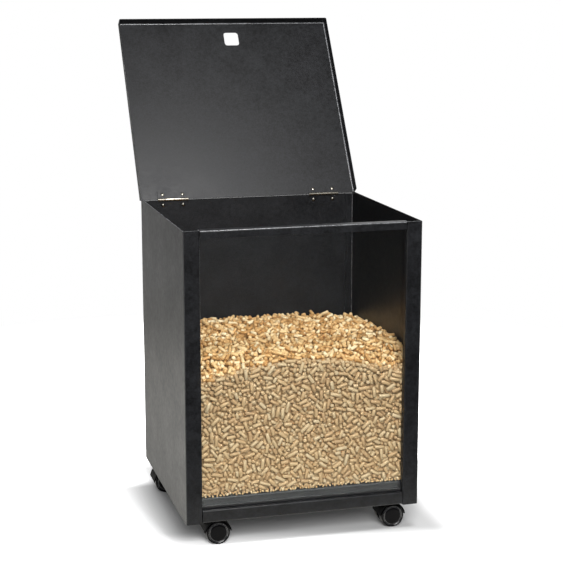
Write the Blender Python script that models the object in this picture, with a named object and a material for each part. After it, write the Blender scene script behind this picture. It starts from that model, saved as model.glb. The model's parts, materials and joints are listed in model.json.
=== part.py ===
"""Pellet storage box: a folded sheet-steel bin with a window, a hinged lid and four casters.

Metres, +Z up. The window faces -Y and +X is to the viewer's right. The lid is modelled shut,
about its hinge axis, and stands open at rest because its parent empty is turned.
The ground is Z = 0, and the origin is at the middle of the ground under the open box.
"""
import math
import random

import bmesh
import bpy
from mathutils import Matrix, Vector

# Sheet and clearances
SHEET = 0.0012
BEND_RADIUS = 0.0018  # to the middle of the sheet
BEND_STEPS = 3
SEAT_GAP = 0.0003  # between pieces that rest on each other

# Bin
BODY_WIDTH = 0.400
BODY_DEPTH = 0.370
BODY_HEIGHT = 0.486
POST_WIDTH = 0.027
POST_RETURN = 0.012
REAR_FLANGE = 0.015
TOP_RAIL_FACE = 0.0127
BOTTOM_RAIL_FACE = 0.021
BOTTOM_RAIL_LIFT = 0.0015
BOTTOM_RAIL_LIP = 0.010
FLOOR_FLANGE = 0.0152

# Window
PANE_THICKNESS = 0.004
PANE_OVERLAP = 0.016  # past each post's inner edge
PANE_HEADROOM = 0.002
SEAL_HEIGHT = 0.003
SEAL_LIP = 0.002
RETAINER_GRIP = 0.011
RETAINER_LEG = 0.014
RETAINER_DROP = 0.003

# Pellets
PELLET_LEVEL = 0.2668  # above the body's lower edge, where the heap is highest
PELLET_FRONT_DROP = 0.007  # at the middle of the window
PELLET_FRONT_FALL = 0.040  # and how much more at its sides
PELLET_FRONT_RUN = 0.075
PELLET_BACK_DROP = 0.005
PELLET_BACK_FALL = 0.012
PELLET_BACK_RUN = 0.224
PELLET_WALL_GAP = 0.0005
PELLET_CELL = 0.0115  # of the surface's grid
HUMP_HEIGHT = 0.007  # where pellets lie on each other
HUMP_LENGTH = 0.040
HUMP_WIDTH = 0.024
HUMP_SPACING = 0.034
HUMP_SCATTER = 0.25  # of the spacing, to each side
HUMP_SEED = 3

# Lid
LID_FLANGE = 0.018
LID_CLEARANCE = 0.002
LID_STOP_GAP = 0.0001  # between the open lid and the back panel
LID_BEND = 0.0026  # outer radius
LID_OPEN_DEGREES = 123.0
HOLE_SIZE = 0.028
HOLE_CORNER = 0.005
HOLE_CORNER_STEPS = 4
HOLE_EDGE = 0.0215  # from the lid's front face
HOLE_OFFSET = 0.012  # to the right of the middle

# Hinges and rivets
HINGE_INSET = 0.058
HINGE_LENGTH = 0.055
KNUCKLE_LENGTH = 0.014
BARREL_RADIUS = 0.0025
BARREL_SIDES = 16
PIN_RADIUS = 0.0013
PIN_PROUD = 0.0008
LEAF_THICKNESS = 0.0010
LEAF_WIDTH = 0.018
RIVET_END = 0.009  # from the hinge's end
RIVET_SETBACK = 0.0105
RIVET_RADIUS = 0.0020
RIVET_HEAD_RADIUS = 0.0034
RIVET_HEAD_HEIGHT = 0.0014
RIVET_HEAD_ROUND = 0.0010
RIVET_TAIL_RADIUS = 0.0030
RIVET_TAIL_HEIGHT = 0.0012
RIVET_TAIL_ROUND = 0.0008
RIVET_SINK = 0.0010  # depth of the back panel's countersinks
RIVET_RECESS = 0.0001  # a flush tail, below the panel's face
RIVET_SIDES = 10

# Casters
CASTER_INSET = 0.047
REAR_CASTER_INSET = 0.037  # their wheels show beside the left wall's foot
CASTER_TRAIL = 0.012
CASTER_RAIL_SHEET = 0.0020
WHEEL_RADIUS = 0.020
WHEEL_WIDTH = 0.014
WHEEL_CHAMFER = 0.0014
WHEEL_RIM = 0.0048
WHEEL_DISH = 0.0008
WHEEL_CAP = 0.0025
WHEEL_SIDES = 24
WHEEL_GAP = 0.001
WHEEL_SIDE_GAP = 0.0005
HOOD_WALL = 0.002
HOOD_CAP = 0.001
HOOD_SKIRT = 0.002  # lower edge above the axle
HOOD_SHORT = 0.001  # the wheels stand proud of it
HOOD_SIDES = 32
HUB_RADIUS = 0.010
WEB_THICKNESS = 0.013
NECK_RADIUS = 0.009
BOSS_DROP = 0.004
AXLE_RADIUS = 0.0025
COLLAR_RADIUS = 0.009
COLLAR_THICKNESS = 0.0035
SWIVEL_RADIUS = 0.0035
SWIVEL_DEPTH = 0.022
THREAD_RADIUS = 0.004
THREAD_PROUD = 0.002
NUT_FLATS = 0.013
NUT_HEIGHT = 0.0065
TURNED_SIDES = 14

# Heights
AXLE_HEIGHT = WHEEL_RADIUS * math.cos(math.pi / WHEEL_SIDES)  # the wheel stands on a flat
HOOD_RADIUS = WHEEL_RADIUS + WHEEL_GAP + HOOD_WALL
HOOD_TOP = AXLE_HEIGHT + HOOD_RADIUS + HOOD_CAP
BODY_BOTTOM = HOOD_TOP + SEAT_GAP + COLLAR_THICKNESS + SEAT_GAP
RIM = BODY_BOTTOM + BODY_HEIGHT
LEDGE_TOP = BODY_BOTTOM + BOTTOM_RAIL_LIFT + BOTTOM_RAIL_FACE
FLOOR_TOP = LEDGE_TOP + SEAT_GAP + FLOOR_FLANGE
NUT_SEAT = BODY_BOTTOM + CASTER_RAIL_SHEET + SEAT_GAP

# Places across the bin, from its middle
HALF_WIDTH = BODY_WIDTH / 2
HALF_INNER = HALF_WIDTH - SHEET
HALF_RAIL = HALF_WIDTH - POST_WIDTH - SEAT_GAP
HALF_PANE = HALF_WIDTH - POST_WIDTH + PANE_OVERLAP
HALF_FLOOR = HALF_INNER - SEAT_GAP
HALF_LID = HALF_WIDTH + LID_CLEARANCE + SHEET
CASTER_X = HALF_WIDTH - CASTER_INSET
REAR_CASTER_X = HALF_WIDTH - REAR_CASTER_INSET
HINGE_X = HALF_WIDTH - HINGE_INSET
RIVET_X = HINGE_LENGTH / 2 - RIVET_END

# Places from front to back, from the bin's middle
FRONT = -BODY_DEPTH / 2
BACK = BODY_DEPTH / 2
PANE_FRONT = FRONT + POST_RETURN + SEAT_GAP
PANE_BACK = PANE_FRONT + PANE_THICKNESS
STOP_FRONT = PANE_BACK + SEAT_GAP
STOP_BACK = STOP_FRONT + SHEET
BACK_INNER = BACK - SHEET
FLANGE_INNER = BACK_INNER - SEAT_GAP - SHEET
FLOOR_BACK = FLANGE_INNER - BEND_RADIUS
CASTER_Y = BACK - CASTER_INSET

# Hinge axis, and the lid about it when shut
HINGE_Y = BACK_INNER - SEAT_GAP - BARREL_RADIUS
HINGE_Z = RIM - BARREL_RADIUS
LID_OPEN = math.radians(LID_OPEN_DEGREES)
LID_UNDER = BARREL_RADIUS + SEAT_GAP
LID_TOP = LID_UNDER + SHEET
LID_REACH = HINGE_Y - FRONT + LID_CLEARANCE + SHEET
# The rear edge stays clear of the body leaf when the lid is open
LID_SETBACK = LID_UNDER * (1 - math.sin(LID_OPEN)) / -math.cos(LID_OPEN) + SEAT_GAP
# The open lid's lower edge stops on the back panel
BACK_TOP = HINGE_Z + LID_SETBACK * math.sin(LID_OPEN) + LID_TOP * math.cos(LID_OPEN) - LID_STOP_GAP

# The open lid's rearmost point sets the middle of the whole
LID_REAR = ((LID_REACH - LID_BEND) * -math.cos(LID_OPEN)
            + (LID_TOP - LID_BEND) * math.sin(LID_OPEN) + LID_BEND)
MIDDLE_Y = (FRONT + HINGE_Y + LID_REAR) / 2

CUT_MARGIN = 0.010  # how far a cutter runs past what it cuts
MERGE_DISTANCE = 0.000001
ARC_PROFILE = 0.5  # a bevel that follows a circle
ROUND_DEGREES = 40.0  # below this, faces meet in a smooth curve
FACETED_DEGREES = 30.0


def clear_scene():
    """Removes every object that the scene starts with."""
    for item in list(bpy.data.objects):
        bpy.data.objects.remove(item)


def finish(name, colour, roughness, metallic):
    """Principled material with one colour."""
    material = bpy.data.materials.new(name)
    material.use_nodes = True
    shader = material.node_tree.nodes["Principled BSDF"]
    shader.inputs["Base Color"].default_value = (*colour, 1.0)
    shader.inputs["Roughness"].default_value = roughness
    shader.inputs["Metallic"].default_value = metallic
    return material


def to_mesh(bm, name):
    """Closes a bmesh into a mesh whose faces point out."""
    bmesh.ops.recalc_face_normals(bm, faces=bm.faces)
    mesh = bpy.data.meshes.new(name)
    bm.to_mesh(mesh)
    bm.free()
    return mesh


def left_of(direction):
    """Unit vector to the left of a flat direction."""
    return Vector((-direction.y, direction.x))


def fold_outline(path, thickness=SHEET):
    """Outline of a bent strip whose middle line follows a path of corners."""
    points = [Vector(point) for point in path]
    runs = [(end - start).normalized() for start, end in zip(points, points[1:])]
    stations = [(points[0], left_of(runs[0]))]
    for point, before, after in zip(points[1:], runs, runs[1:]):
        turn = math.atan2(before.cross(after), before.dot(after))
        side = math.copysign(1.0, turn)
        start = point - before * BEND_RADIUS * math.tan(abs(turn) / 2)
        centre = start + left_of(before) * BEND_RADIUS * side
        for step in range(BEND_STEPS + 1):
            normal = left_of(before)
            normal.rotate(Matrix.Rotation(turn * step / BEND_STEPS, 2))
            stations.append((centre - normal * BEND_RADIUS * side, normal))
    stations.append((points[-1], left_of(runs[-1])))
    near = [point + normal * thickness / 2 for point, normal in stations]
    far = [point - normal * thickness / 2 for point, normal in stations]
    return near + far[::-1]


def along_x(flat, distance):
    """Place of an outline point (y, z) drawn out along X."""
    return Vector((distance, flat[0], flat[1]))


def along_y(flat, distance):
    """Place of an outline point (x, z) drawn out along Y."""
    return Vector((flat[0], distance, flat[1]))


def along_z(flat, distance):
    """Place of an outline point (x, y) drawn out along Z."""
    return Vector((flat[0], flat[1], distance))


def extruded(name, outline, place, start, end):
    """Solid of an outline drawn out between two distances."""
    bm = bmesh.new()
    face = bm.faces.new([bm.verts.new(place(point, start)) for point in outline])
    drawn = bmesh.ops.extrude_face_region(bm, geom=[face])
    moved = [item for item in drawn["geom"] if isinstance(item, bmesh.types.BMVert)]
    bmesh.ops.translate(bm, verts=moved, vec=place((0.0, 0.0), end - start))
    return to_mesh(bm, name)


def block(name, low, high):
    """Box between two corners."""
    outline = [(low[0], low[1]), (high[0], low[1]), (high[0], high[1]), (low[0], high[1])]
    return extruded(name, outline, along_z, low[2], high[2])


def polygon(radius, sides, centre=(0.0, 0.0), phase=0.5):
    """Corners of a regular polygon, with a flat at its lowest point at phase 0.5."""
    turns = [2 * math.pi * (step + phase) / sides - math.pi / 2 for step in range(sides)]
    return [(centre[0] + radius * math.cos(turn), centre[1] + radius * math.sin(turn)) for turn in turns]


def turned(name, profile, sides):
    """Solid of (radius, height) points turned about Z, from one end of the axis to the other."""
    bm = bmesh.new()
    verts = [bm.verts.new((radius, 0.0, height)) for radius, height in profile]
    edges = [bm.edges.new(pair) for pair in zip(verts, verts[1:])]
    bmesh.ops.rotate(bm, verts=verts, matrix=Matrix.Rotation(math.pi / sides, 3, "Z"))
    bmesh.ops.spin(bm, geom=verts + edges, axis=(0, 0, 1), angle=2 * math.pi, steps=sides, use_merge=True)
    bmesh.ops.remove_doubles(bm, verts=bm.verts, dist=MERGE_DISTANCE)
    return to_mesh(bm, name)


def loose(mesh):
    """Object that holds a mesh while it is shaped."""
    item = bpy.data.objects.new(mesh.name, mesh)
    bpy.context.collection.objects.link(item)
    return item


def shaped(base, joined=(), removed=()):
    """Mesh of a base with other solids joined to it, then others cut from it."""
    target = loose(base)
    for operation, tools in (("UNION", joined), ("DIFFERENCE", removed)):
        for mesh in tools:
            tool = loose(mesh)
            modifier = target.modifiers.new(operation, "BOOLEAN")
            modifier.operation = operation
            modifier.object = tool
            with bpy.context.temp_override(object=target, active_object=target):
                bpy.ops.object.modifier_apply(modifier=modifier.name)
            bpy.data.objects.remove(tool)
    mesh = target.data
    bpy.data.objects.remove(target)
    return mesh


def smooth(mesh, degrees=ROUND_DEGREES):
    """Shades a round piece smooth, with its real corners left sharp."""
    mesh.shade_smooth()
    mesh.set_sharp_from_angle(angle=math.radians(degrees))
    return mesh


def add_piece(name, mesh, parent, material, location=(0.0, 0.0, 0.0), rotation=(0.0, 0.0, 0.0)):
    """Named sub-part under a parent empty."""
    item = bpy.data.objects.new(name, mesh)
    bpy.context.collection.objects.link(item)
    item.parent = parent
    item.location = location
    item.rotation_euler = rotation
    if not mesh.materials:
        mesh.materials.append(material)
    return item


def add_empty(name, parent=None, location=(0.0, 0.0, 0.0), rotation=(0.0, 0.0, 0.0)):
    """Empty that places a group, on its joint axis if the group moves."""
    item = bpy.data.objects.new(name, None)
    bpy.context.collection.objects.link(item)
    item.parent = parent
    item.location = location
    item.rotation_euler = rotation
    return item


def side_panel_mesh(name, side):
    """Side sheet in plan: rear flange, wall, front post and the post's return."""
    wall = side * (HALF_WIDTH - SHEET / 2)
    post_edge = side * (HALF_WIDTH - POST_WIDTH + SHEET / 2)
    rear = FLANGE_INNER + SHEET / 2
    front = FRONT + SHEET / 2
    path = [
        (side * (HALF_WIDTH - REAR_FLANGE), rear),
        (wall, rear),
        (wall, front),
        (post_edge, front),
        (post_edge, FRONT + POST_RETURN),
    ]
    panel = extruded(name, fold_outline(path), along_z, BODY_BOTTOM, RIM)
    # The rear end is as low as the back panel, clear of the lid's rear edge as it swings
    low = (-HALF_WIDTH - CUT_MARGIN, FLANGE_INNER - SEAT_GAP, BACK_TOP)
    high = (HALF_WIDTH + CUT_MARGIN, BACK + CUT_MARGIN, RIM + CUT_MARGIN)
    return shaped(panel, removed=[block("notch", low, high)])


def back_panel_mesh():
    """Flat sheet behind the rear flanges, countersunk for the hinge rivets."""
    sheet = block("back_panel", (-HALF_WIDTH, BACK_INNER, BODY_BOTTOM), (HALF_WIDTH, BACK, BACK_TOP))
    bore = RIVET_RADIUS + SEAT_GAP
    mouth = RIVET_TAIL_RADIUS + SEAT_GAP
    profile = [
        (0.0, -CUT_MARGIN),
        (bore, -CUT_MARGIN),
        (bore, -RIVET_SINK),
        (mouth, 0.0),
        (mouth, CUT_MARGIN),
        (0.0, CUT_MARGIN),
    ]
    holes = []
    for x in rivet_places():
        hole = turned("hole", profile, RIVET_SIDES)
        place = Matrix.Translation((x, BACK, HINGE_Z - RIVET_SETBACK))
        hole.transform(place @ Matrix.Rotation(-math.pi / 2, 4, "X"))
        holes.append(hole)
    return shaped(sheet, removed=holes)


def floor_mesh():
    """Raised plate: its front flange stands on the bottom rail's ledge."""
    level = FLOOR_TOP - SHEET / 2
    foot = LEDGE_TOP + SEAT_GAP
    front = STOP_FRONT + SHEET / 2
    rear = FLOOR_BACK - SHEET / 2
    path = [(front, foot), (front, level), (rear, level), (rear, foot)]
    return extruded("floor_panel", fold_outline(path), along_x, -HALF_FLOOR, HALF_FLOOR)


def top_rail_mesh():
    """Channel over the pane's upper edge, open downwards."""
    front = FRONT + SHEET / 2
    rear = STOP_FRONT + SHEET / 2
    top = RIM - SHEET / 2
    foot = RIM - TOP_RAIL_FACE
    path = [(front, foot), (front, top), (rear, top), (rear, foot)]
    return extruded("front_top_rail", fold_outline(path), along_x, -HALF_RAIL, HALF_RAIL)


def bottom_rail_mesh():
    """Front face with a lower lip, and the ledge that carries the pane and the floor."""
    front = FRONT + SHEET / 2
    foot = BODY_BOTTOM + BOTTOM_RAIL_LIFT + SHEET / 2
    ledge = LEDGE_TOP - SHEET / 2
    path = [(FRONT + BOTTOM_RAIL_LIP, foot), (front, foot), (front, ledge), (STOP_BACK, ledge)]
    return extruded("front_bottom_rail", fold_outline(path), along_x, -HALF_RAIL, HALF_RAIL)


def retainer_mesh(name, side):
    """Angle on the side wall that holds the pane's edge from behind."""
    wall = side * (HALF_INNER - SEAT_GAP - SHEET / 2)
    stop = STOP_FRONT + SHEET / 2
    path = [(wall, STOP_FRONT + RETAINER_LEG), (wall, stop), (side * (HALF_PANE - RETAINER_GRIP), stop)]
    head = RIM - TOP_RAIL_FACE - RETAINER_DROP
    return extruded(name, fold_outline(path), along_z, FLOOR_TOP + SEAT_GAP, head)


def caster_rail_mesh(name, side):
    """Channel under the floor, against the side wall, with a stem hole over each caster."""
    half = CASTER_INSET - SHEET - SEAT_GAP - CASTER_RAIL_SHEET / 2
    middle = side * CASTER_X
    top = FLOOR_TOP - SHEET - SEAT_GAP
    foot = BODY_BOTTOM + CASTER_RAIL_SHEET / 2
    path = [(middle - half, top), (middle - half, foot), (middle + half, foot), (middle + half, top)]
    outline = fold_outline(path, CASTER_RAIL_SHEET)
    channel = extruded(name, outline, along_y, STOP_BACK + BEND_RADIUS, FLOOR_BACK - SHEET - BEND_RADIUS)
    holes = []
    for x, y in ((CASTER_X, -CASTER_Y), (REAR_CASTER_X, CASTER_Y)):
        ring = polygon(THREAD_RADIUS + SEAT_GAP, TURNED_SIDES, (side * x, y))
        holes.append(extruded("hole", ring, along_z, BODY_BOTTOM - CUT_MARGIN, NUT_SEAT + CUT_MARGIN))
    return shaped(channel, removed=holes)


def pellet_humps(half_x, front, back):
    """Middle and direction of each hump in the pellets' surface, one near each point of a grid."""
    draw = random.Random(HUMP_SEED)
    columns = round(2 * half_x / HUMP_SPACING)
    rows = round((back - front) / HUMP_SPACING)
    humps = []
    for column in range(columns):
        for row in range(rows):
            x = (column + 0.5 + draw.uniform(-HUMP_SCATTER, HUMP_SCATTER)) / columns * 2 * half_x - half_x
            y = (row + 0.5 + draw.uniform(-HUMP_SCATTER, HUMP_SCATTER)) / rows * (back - front) + front
            humps.append((x, y, draw.uniform(0.0, math.pi)))
    return humps


def pellet_height(x, y, humps):
    """Height of the pellets: humps on a heap that falls to the window and the back, most at the sides."""
    aside = (x / HALF_INNER) ** 2
    near_front = max(0.0, 1 - (y - STOP_BACK) / PELLET_FRONT_RUN) ** 2
    near_back = max(0.0, 1 - (BACK_INNER - y) / PELLET_BACK_RUN) ** 2
    fall = (near_front * (PELLET_FRONT_DROP + PELLET_FRONT_FALL * aside)
            + near_back * (PELLET_BACK_DROP + PELLET_BACK_FALL * aside))
    nearest = 1.0
    for middle_x, middle_y, turn in humps:
        along = (x - middle_x) * math.cos(turn) + (y - middle_y) * math.sin(turn)
        across = (y - middle_y) * math.cos(turn) - (x - middle_x) * math.sin(turn)
        nearest = min(nearest, (2 * along / HUMP_LENGTH) ** 2 + (2 * across / HUMP_WIDTH) ** 2)
    hump = HUMP_HEIGHT * (1 - nearest)
    return BODY_BOTTOM + PELLET_LEVEL + hump - fall


def pellet_mesh():
    """One solid for the loose pellets, clear of the walls and round the pane's retainers."""
    half_x = HALF_INNER - PELLET_WALL_GAP
    front = STOP_BACK + PELLET_WALL_GAP
    back = FLANGE_INNER - PELLET_WALL_GAP
    humps = pellet_humps(half_x, front, back)
    columns = round(2 * half_x / PELLET_CELL)
    rows = round((back - front) / PELLET_CELL)
    bm = bmesh.new()
    bmesh.ops.create_grid(bm, x_segments=columns, y_segments=rows, size=1.0)
    for vert in bm.verts:
        x = vert.co.x * half_x
        y = (front + back) / 2 + vert.co.y * (back - front) / 2
        vert.co = (x, y, pellet_height(x, y, humps))
    drawn = bmesh.ops.extrude_face_region(bm, geom=bm.faces[:])
    for item in drawn["geom"]:
        if isinstance(item, bmesh.types.BMVert):
            item.co.z = FLOOR_TOP + SEAT_GAP
    base = [item for item in drawn["geom"] if isinstance(item, bmesh.types.BMFace)]
    bmesh.ops.dissolve_faces(bm, faces=base)
    heap = to_mesh(bm, "pellet_load")
    notches = []
    for side in (-1, 1):
        inner = HALF_PANE - RETAINER_GRIP - PELLET_WALL_GAP
        low, high = sorted((side * inner, side * HALF_WIDTH))
        rear = STOP_FRONT + RETAINER_LEG + PELLET_WALL_GAP
        notches.append(block("notch", (low, FRONT, BODY_BOTTOM), (high, rear, RIM)))
    return shaped(heap, removed=notches)


def rounded_block(name, low, high, radius, steps, chosen):
    """Box with the chosen edges rounded; chosen tells an edge from its two ends."""
    bm = bmesh.new()
    bm.from_mesh(block(name, low, high))
    edges = [edge for edge in bm.edges if chosen(*(vert.co for vert in edge.verts))]
    bmesh.ops.bevel(bm, geom=edges, offset=radius, segments=steps,
                    affect="EDGES", profile=ARC_PROFILE)
    return to_mesh(bm, name)


def lid_mesh():
    """Tray with three flanges, shut about the hinge axis, with a finger hole and rivet holes."""
    rear = -LID_SETBACK
    front = -LID_REACH
    foot = LID_TOP - LID_FLANGE

    def is_fold(top, face):
        """Edges round the plate, and the two upright corners, but none at the rear."""
        def chosen(a, b):
            at_rear = a.y > face + SHEET and b.y > face + SHEET
            upright = abs(a.z - b.z) > SHEET
            level = abs(a.z - top) < SHEET / 4 and abs(b.z - top) < SHEET / 4
            return not at_rear and (upright or level)
        return chosen

    outer = rounded_block("lid_panel", (-HALF_LID, front, foot), (HALF_LID, rear, LID_TOP),
                          LID_BEND, BEND_STEPS, is_fold(LID_TOP, front))
    inner_front = front + SHEET
    hollow = rounded_block("hollow", (-HALF_LID + SHEET, inner_front, foot - CUT_MARGIN),
                           (HALF_LID - SHEET, rear + CUT_MARGIN, LID_UNDER),
                           LID_BEND - SHEET, BEND_STEPS, is_fold(LID_UNDER, inner_front))
    hole_y = front + HOLE_EDGE + HOLE_SIZE / 2
    half = HOLE_SIZE / 2
    finger_hole = rounded_block("finger_hole", (HOLE_OFFSET - half, hole_y - half, LID_UNDER - CUT_MARGIN),
                                (HOLE_OFFSET + half, hole_y + half, LID_TOP + CUT_MARGIN), HOLE_CORNER,
                                HOLE_CORNER_STEPS, lambda a, b: abs(a.z - b.z) > SHEET)
    holes = [finger_hole]
    for x in rivet_places():
        outline = polygon(RIVET_RADIUS + SEAT_GAP, RIVET_SIDES, (x, -RIVET_SETBACK))
        holes.append(extruded("hole", outline, along_z, LID_UNDER - CUT_MARGIN, LID_TOP + CUT_MARGIN))
    return shaped(outer, removed=[hollow, *holes])


def rivet_places():
    """Places of the rivets across the bin."""
    return [side * HINGE_X + end * RIVET_X for side in (-1, 1) for end in (-1, 1)]


def leaf_mesh(name, knuckles, gaps):
    """Leaf that lies flat under +Z, with its knuckles about X and cut away for the other leaf's.

    knuckles and gaps are (start, end) pairs along the hinge.
    """
    half = HINGE_LENGTH / 2
    under = BARREL_RADIUS - LEAF_THICKNESS
    plate = block(name, (-half, -LEAF_WIDTH, under), (half, 0.0, BARREL_RADIUS))
    barrels = []
    for start, end in knuckles:
        barrels.append(extruded("knuckle", polygon(BARREL_RADIUS, BARREL_SIDES), along_x, start, end))
    reach = BARREL_RADIUS + SEAT_GAP
    cuts = []
    for start, end in gaps:
        cuts.append(block("gap", (start, -reach, -reach), (end, reach, reach)))
    bore = polygon(PIN_RADIUS + SEAT_GAP, BARREL_SIDES)
    cuts.append(extruded("bore", bore, along_x, -half - CUT_MARGIN, half + CUT_MARGIN))
    for end in (-1, 1):
        ring = polygon(RIVET_RADIUS + SEAT_GAP, RIVET_SIDES, (end * RIVET_X, -RIVET_SETBACK))
        cuts.append(extruded("hole", ring, along_z, -CUT_MARGIN, CUT_MARGIN))
    return shaped(plate, joined=barrels, removed=cuts)


def end_knuckle_leaf_mesh():
    """Body leaf: a knuckle at each end, cut away for the long one between them."""
    half = HINGE_LENGTH / 2
    inner = half - KNUCKLE_LENGTH
    knuckles = [(-half, -inner), (inner, half)]
    return leaf_mesh("body_leaf", knuckles, [(-inner, inner)])


def long_knuckle_leaf_mesh():
    """Lid leaf: one long knuckle, cut away for the two at the ends."""
    half = HINGE_LENGTH / 2
    inner = half - KNUCKLE_LENGTH
    long_half = inner - SEAT_GAP
    gaps = [(-half - CUT_MARGIN, -long_half), (long_half, half + CUT_MARGIN)]
    return leaf_mesh("lid_leaf", [(-long_half, long_half)], gaps)


def rivet_mesh(flush):
    """Rivet along Z through a leaf and a sheet; Z = 0 is the leaf's outer face, the head below it.

    A flush tail fills the sheet's countersink, and a plain one stands on the sheet.
    """
    head_seat = -SEAT_GAP
    head_end = head_seat - RIVET_HEAD_HEIGHT
    sheet_face = LEAF_THICKNESS + SEAT_GAP + SHEET
    head = [
        (0.0, head_end),
        (RIVET_HEAD_RADIUS - RIVET_HEAD_ROUND, head_end),
        (RIVET_HEAD_RADIUS, head_end + RIVET_HEAD_ROUND),
        (RIVET_HEAD_RADIUS, head_seat),
        (RIVET_RADIUS, head_seat),
    ]
    if flush:
        tail_end = sheet_face - RIVET_RECESS
        tail = [(RIVET_RADIUS, sheet_face - RIVET_SINK), (RIVET_TAIL_RADIUS, tail_end)]
    else:
        tail_seat = sheet_face + SEAT_GAP
        tail_end = tail_seat + RIVET_TAIL_HEIGHT
        tail = [
            (RIVET_RADIUS, tail_seat),
            (RIVET_TAIL_RADIUS, tail_seat),
            (RIVET_TAIL_RADIUS - RIVET_TAIL_ROUND, tail_end),
        ]
    return smooth(turned("rivet", head + tail + [(0.0, tail_end)], RIVET_SIDES))


def wheel_mesh():
    """Wheel about Z: Z = 0 is its inner face, and a blind bore there takes the axle."""
    inner = WHEEL_RADIUS - WHEEL_RIM
    bore = AXLE_RADIUS + SEAT_GAP
    profile = [
        (0.0, WHEEL_WIDTH - WHEEL_DISH),
        (inner, WHEEL_WIDTH - WHEEL_DISH),
        (inner + WHEEL_DISH, WHEEL_WIDTH),
        (WHEEL_RADIUS - WHEEL_CHAMFER, WHEEL_WIDTH),
        (WHEEL_RADIUS, WHEEL_WIDTH - WHEEL_CHAMFER),
        (WHEEL_RADIUS, WHEEL_CHAMFER),
        (WHEEL_RADIUS - WHEEL_CHAMFER, 0.0),
        (bore, 0.0),
        (bore, WHEEL_WIDTH - WHEEL_CAP),
        (0.0, WHEEL_WIDTH - WHEEL_CAP),
    ]
    return smooth(turned("wheel", profile, WHEEL_SIDES))


def wheel_inner_face():
    """Distance of a wheel's inner face from the caster's middle."""
    return WEB_THICKNESS / 2 + WHEEL_SIDE_GAP


def housing_mesh():
    """Hood over both wheels with the web between them; the swivel axis is Z, the axle is at the trail."""
    half = wheel_inner_face() + WHEEL_WIDTH - HOOD_SHORT
    axle = (CASTER_TRAIL, AXLE_HEIGHT)
    hood = extruded("housing", polygon(HOOD_RADIUS, HOOD_SIDES, axle), along_y, -half, half)
    web_half = WEB_THICKNESS / 2
    hub = extruded("hub", polygon(HUB_RADIUS, HOOD_SIDES, axle), along_y, -web_half, web_half)
    boss_foot = AXLE_HEIGHT - BOSS_DROP
    boss = extruded("boss", polygon(web_half, TURNED_SIDES), along_z, boss_foot, HOOD_TOP)
    neck = extruded("neck", polygon(NECK_RADIUS, TURNED_SIDES), along_z, AXLE_HEIGHT + HOOD_SKIRT, HOOD_TOP)
    reach = HOOD_RADIUS + CASTER_TRAIL + CUT_MARGIN
    skirt = block("skirt", (-reach, -reach, -CUT_MARGIN), (reach, reach, AXLE_HEIGHT + HOOD_SKIRT))
    upper = shaped(hood, removed=[skirt])
    pocket = polygon(WHEEL_RADIUS + WHEEL_GAP, HOOD_SIDES, axle)
    axle_bore = polygon(AXLE_RADIUS + SEAT_GAP, TURNED_SIDES, axle)
    stem_bore = polygon(SWIVEL_RADIUS + SEAT_GAP, TURNED_SIDES)
    cuts = [
        extruded("pocket", pocket, along_y, web_half, half + CUT_MARGIN),
        extruded("pocket", pocket, along_y, -half - CUT_MARGIN, -web_half),
        extruded("axle_bore", axle_bore, along_y, -half, half),
        extruded("stem_bore", stem_bore, along_z, HOOD_TOP - SWIVEL_DEPTH - SEAT_GAP, HOOD_TOP + CUT_MARGIN),
    ]
    return smooth(shaped(upper, joined=[hub, boss, neck], removed=cuts), FACETED_DEGREES)


def axle_mesh():
    """Axle along Z, which ends short of the wheels' blind bores."""
    half = wheel_inner_face() + WHEEL_WIDTH - WHEEL_CAP - SEAT_GAP
    return smooth(extruded("axle", polygon(AXLE_RADIUS, TURNED_SIDES), along_z, -half, half))


def stem_mesh():
    """Swivel pin, collar and thread on one turned piece."""
    top = NUT_SEAT + NUT_HEIGHT + THREAD_PROUD
    profile = [
        (0.0, HOOD_TOP - SWIVEL_DEPTH),
        (SWIVEL_RADIUS, HOOD_TOP - SWIVEL_DEPTH),
        (SWIVEL_RADIUS, HOOD_TOP + SEAT_GAP),
        (COLLAR_RADIUS, HOOD_TOP + SEAT_GAP),
        (COLLAR_RADIUS, BODY_BOTTOM - SEAT_GAP),
        (THREAD_RADIUS, BODY_BOTTOM - SEAT_GAP),
        (THREAD_RADIUS, top),
        (0.0, top),
    ]
    return smooth(turned("stem", profile, TURNED_SIDES))


def nut_mesh():
    """Hexagon nut on the caster rail's web."""
    hexagon = polygon(NUT_FLATS / 2 / math.cos(math.pi / 6), 6)
    nut = extruded("nut", hexagon, along_z, NUT_SEAT, NUT_SEAT + NUT_HEIGHT)
    ring = polygon(THREAD_RADIUS + SEAT_GAP, TURNED_SIDES)
    thread = extruded("thread", ring, along_z, NUT_SEAT - CUT_MARGIN, NUT_SEAT + NUT_HEIGHT + CUT_MARGIN)
    return shaped(nut, removed=[thread])


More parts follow.
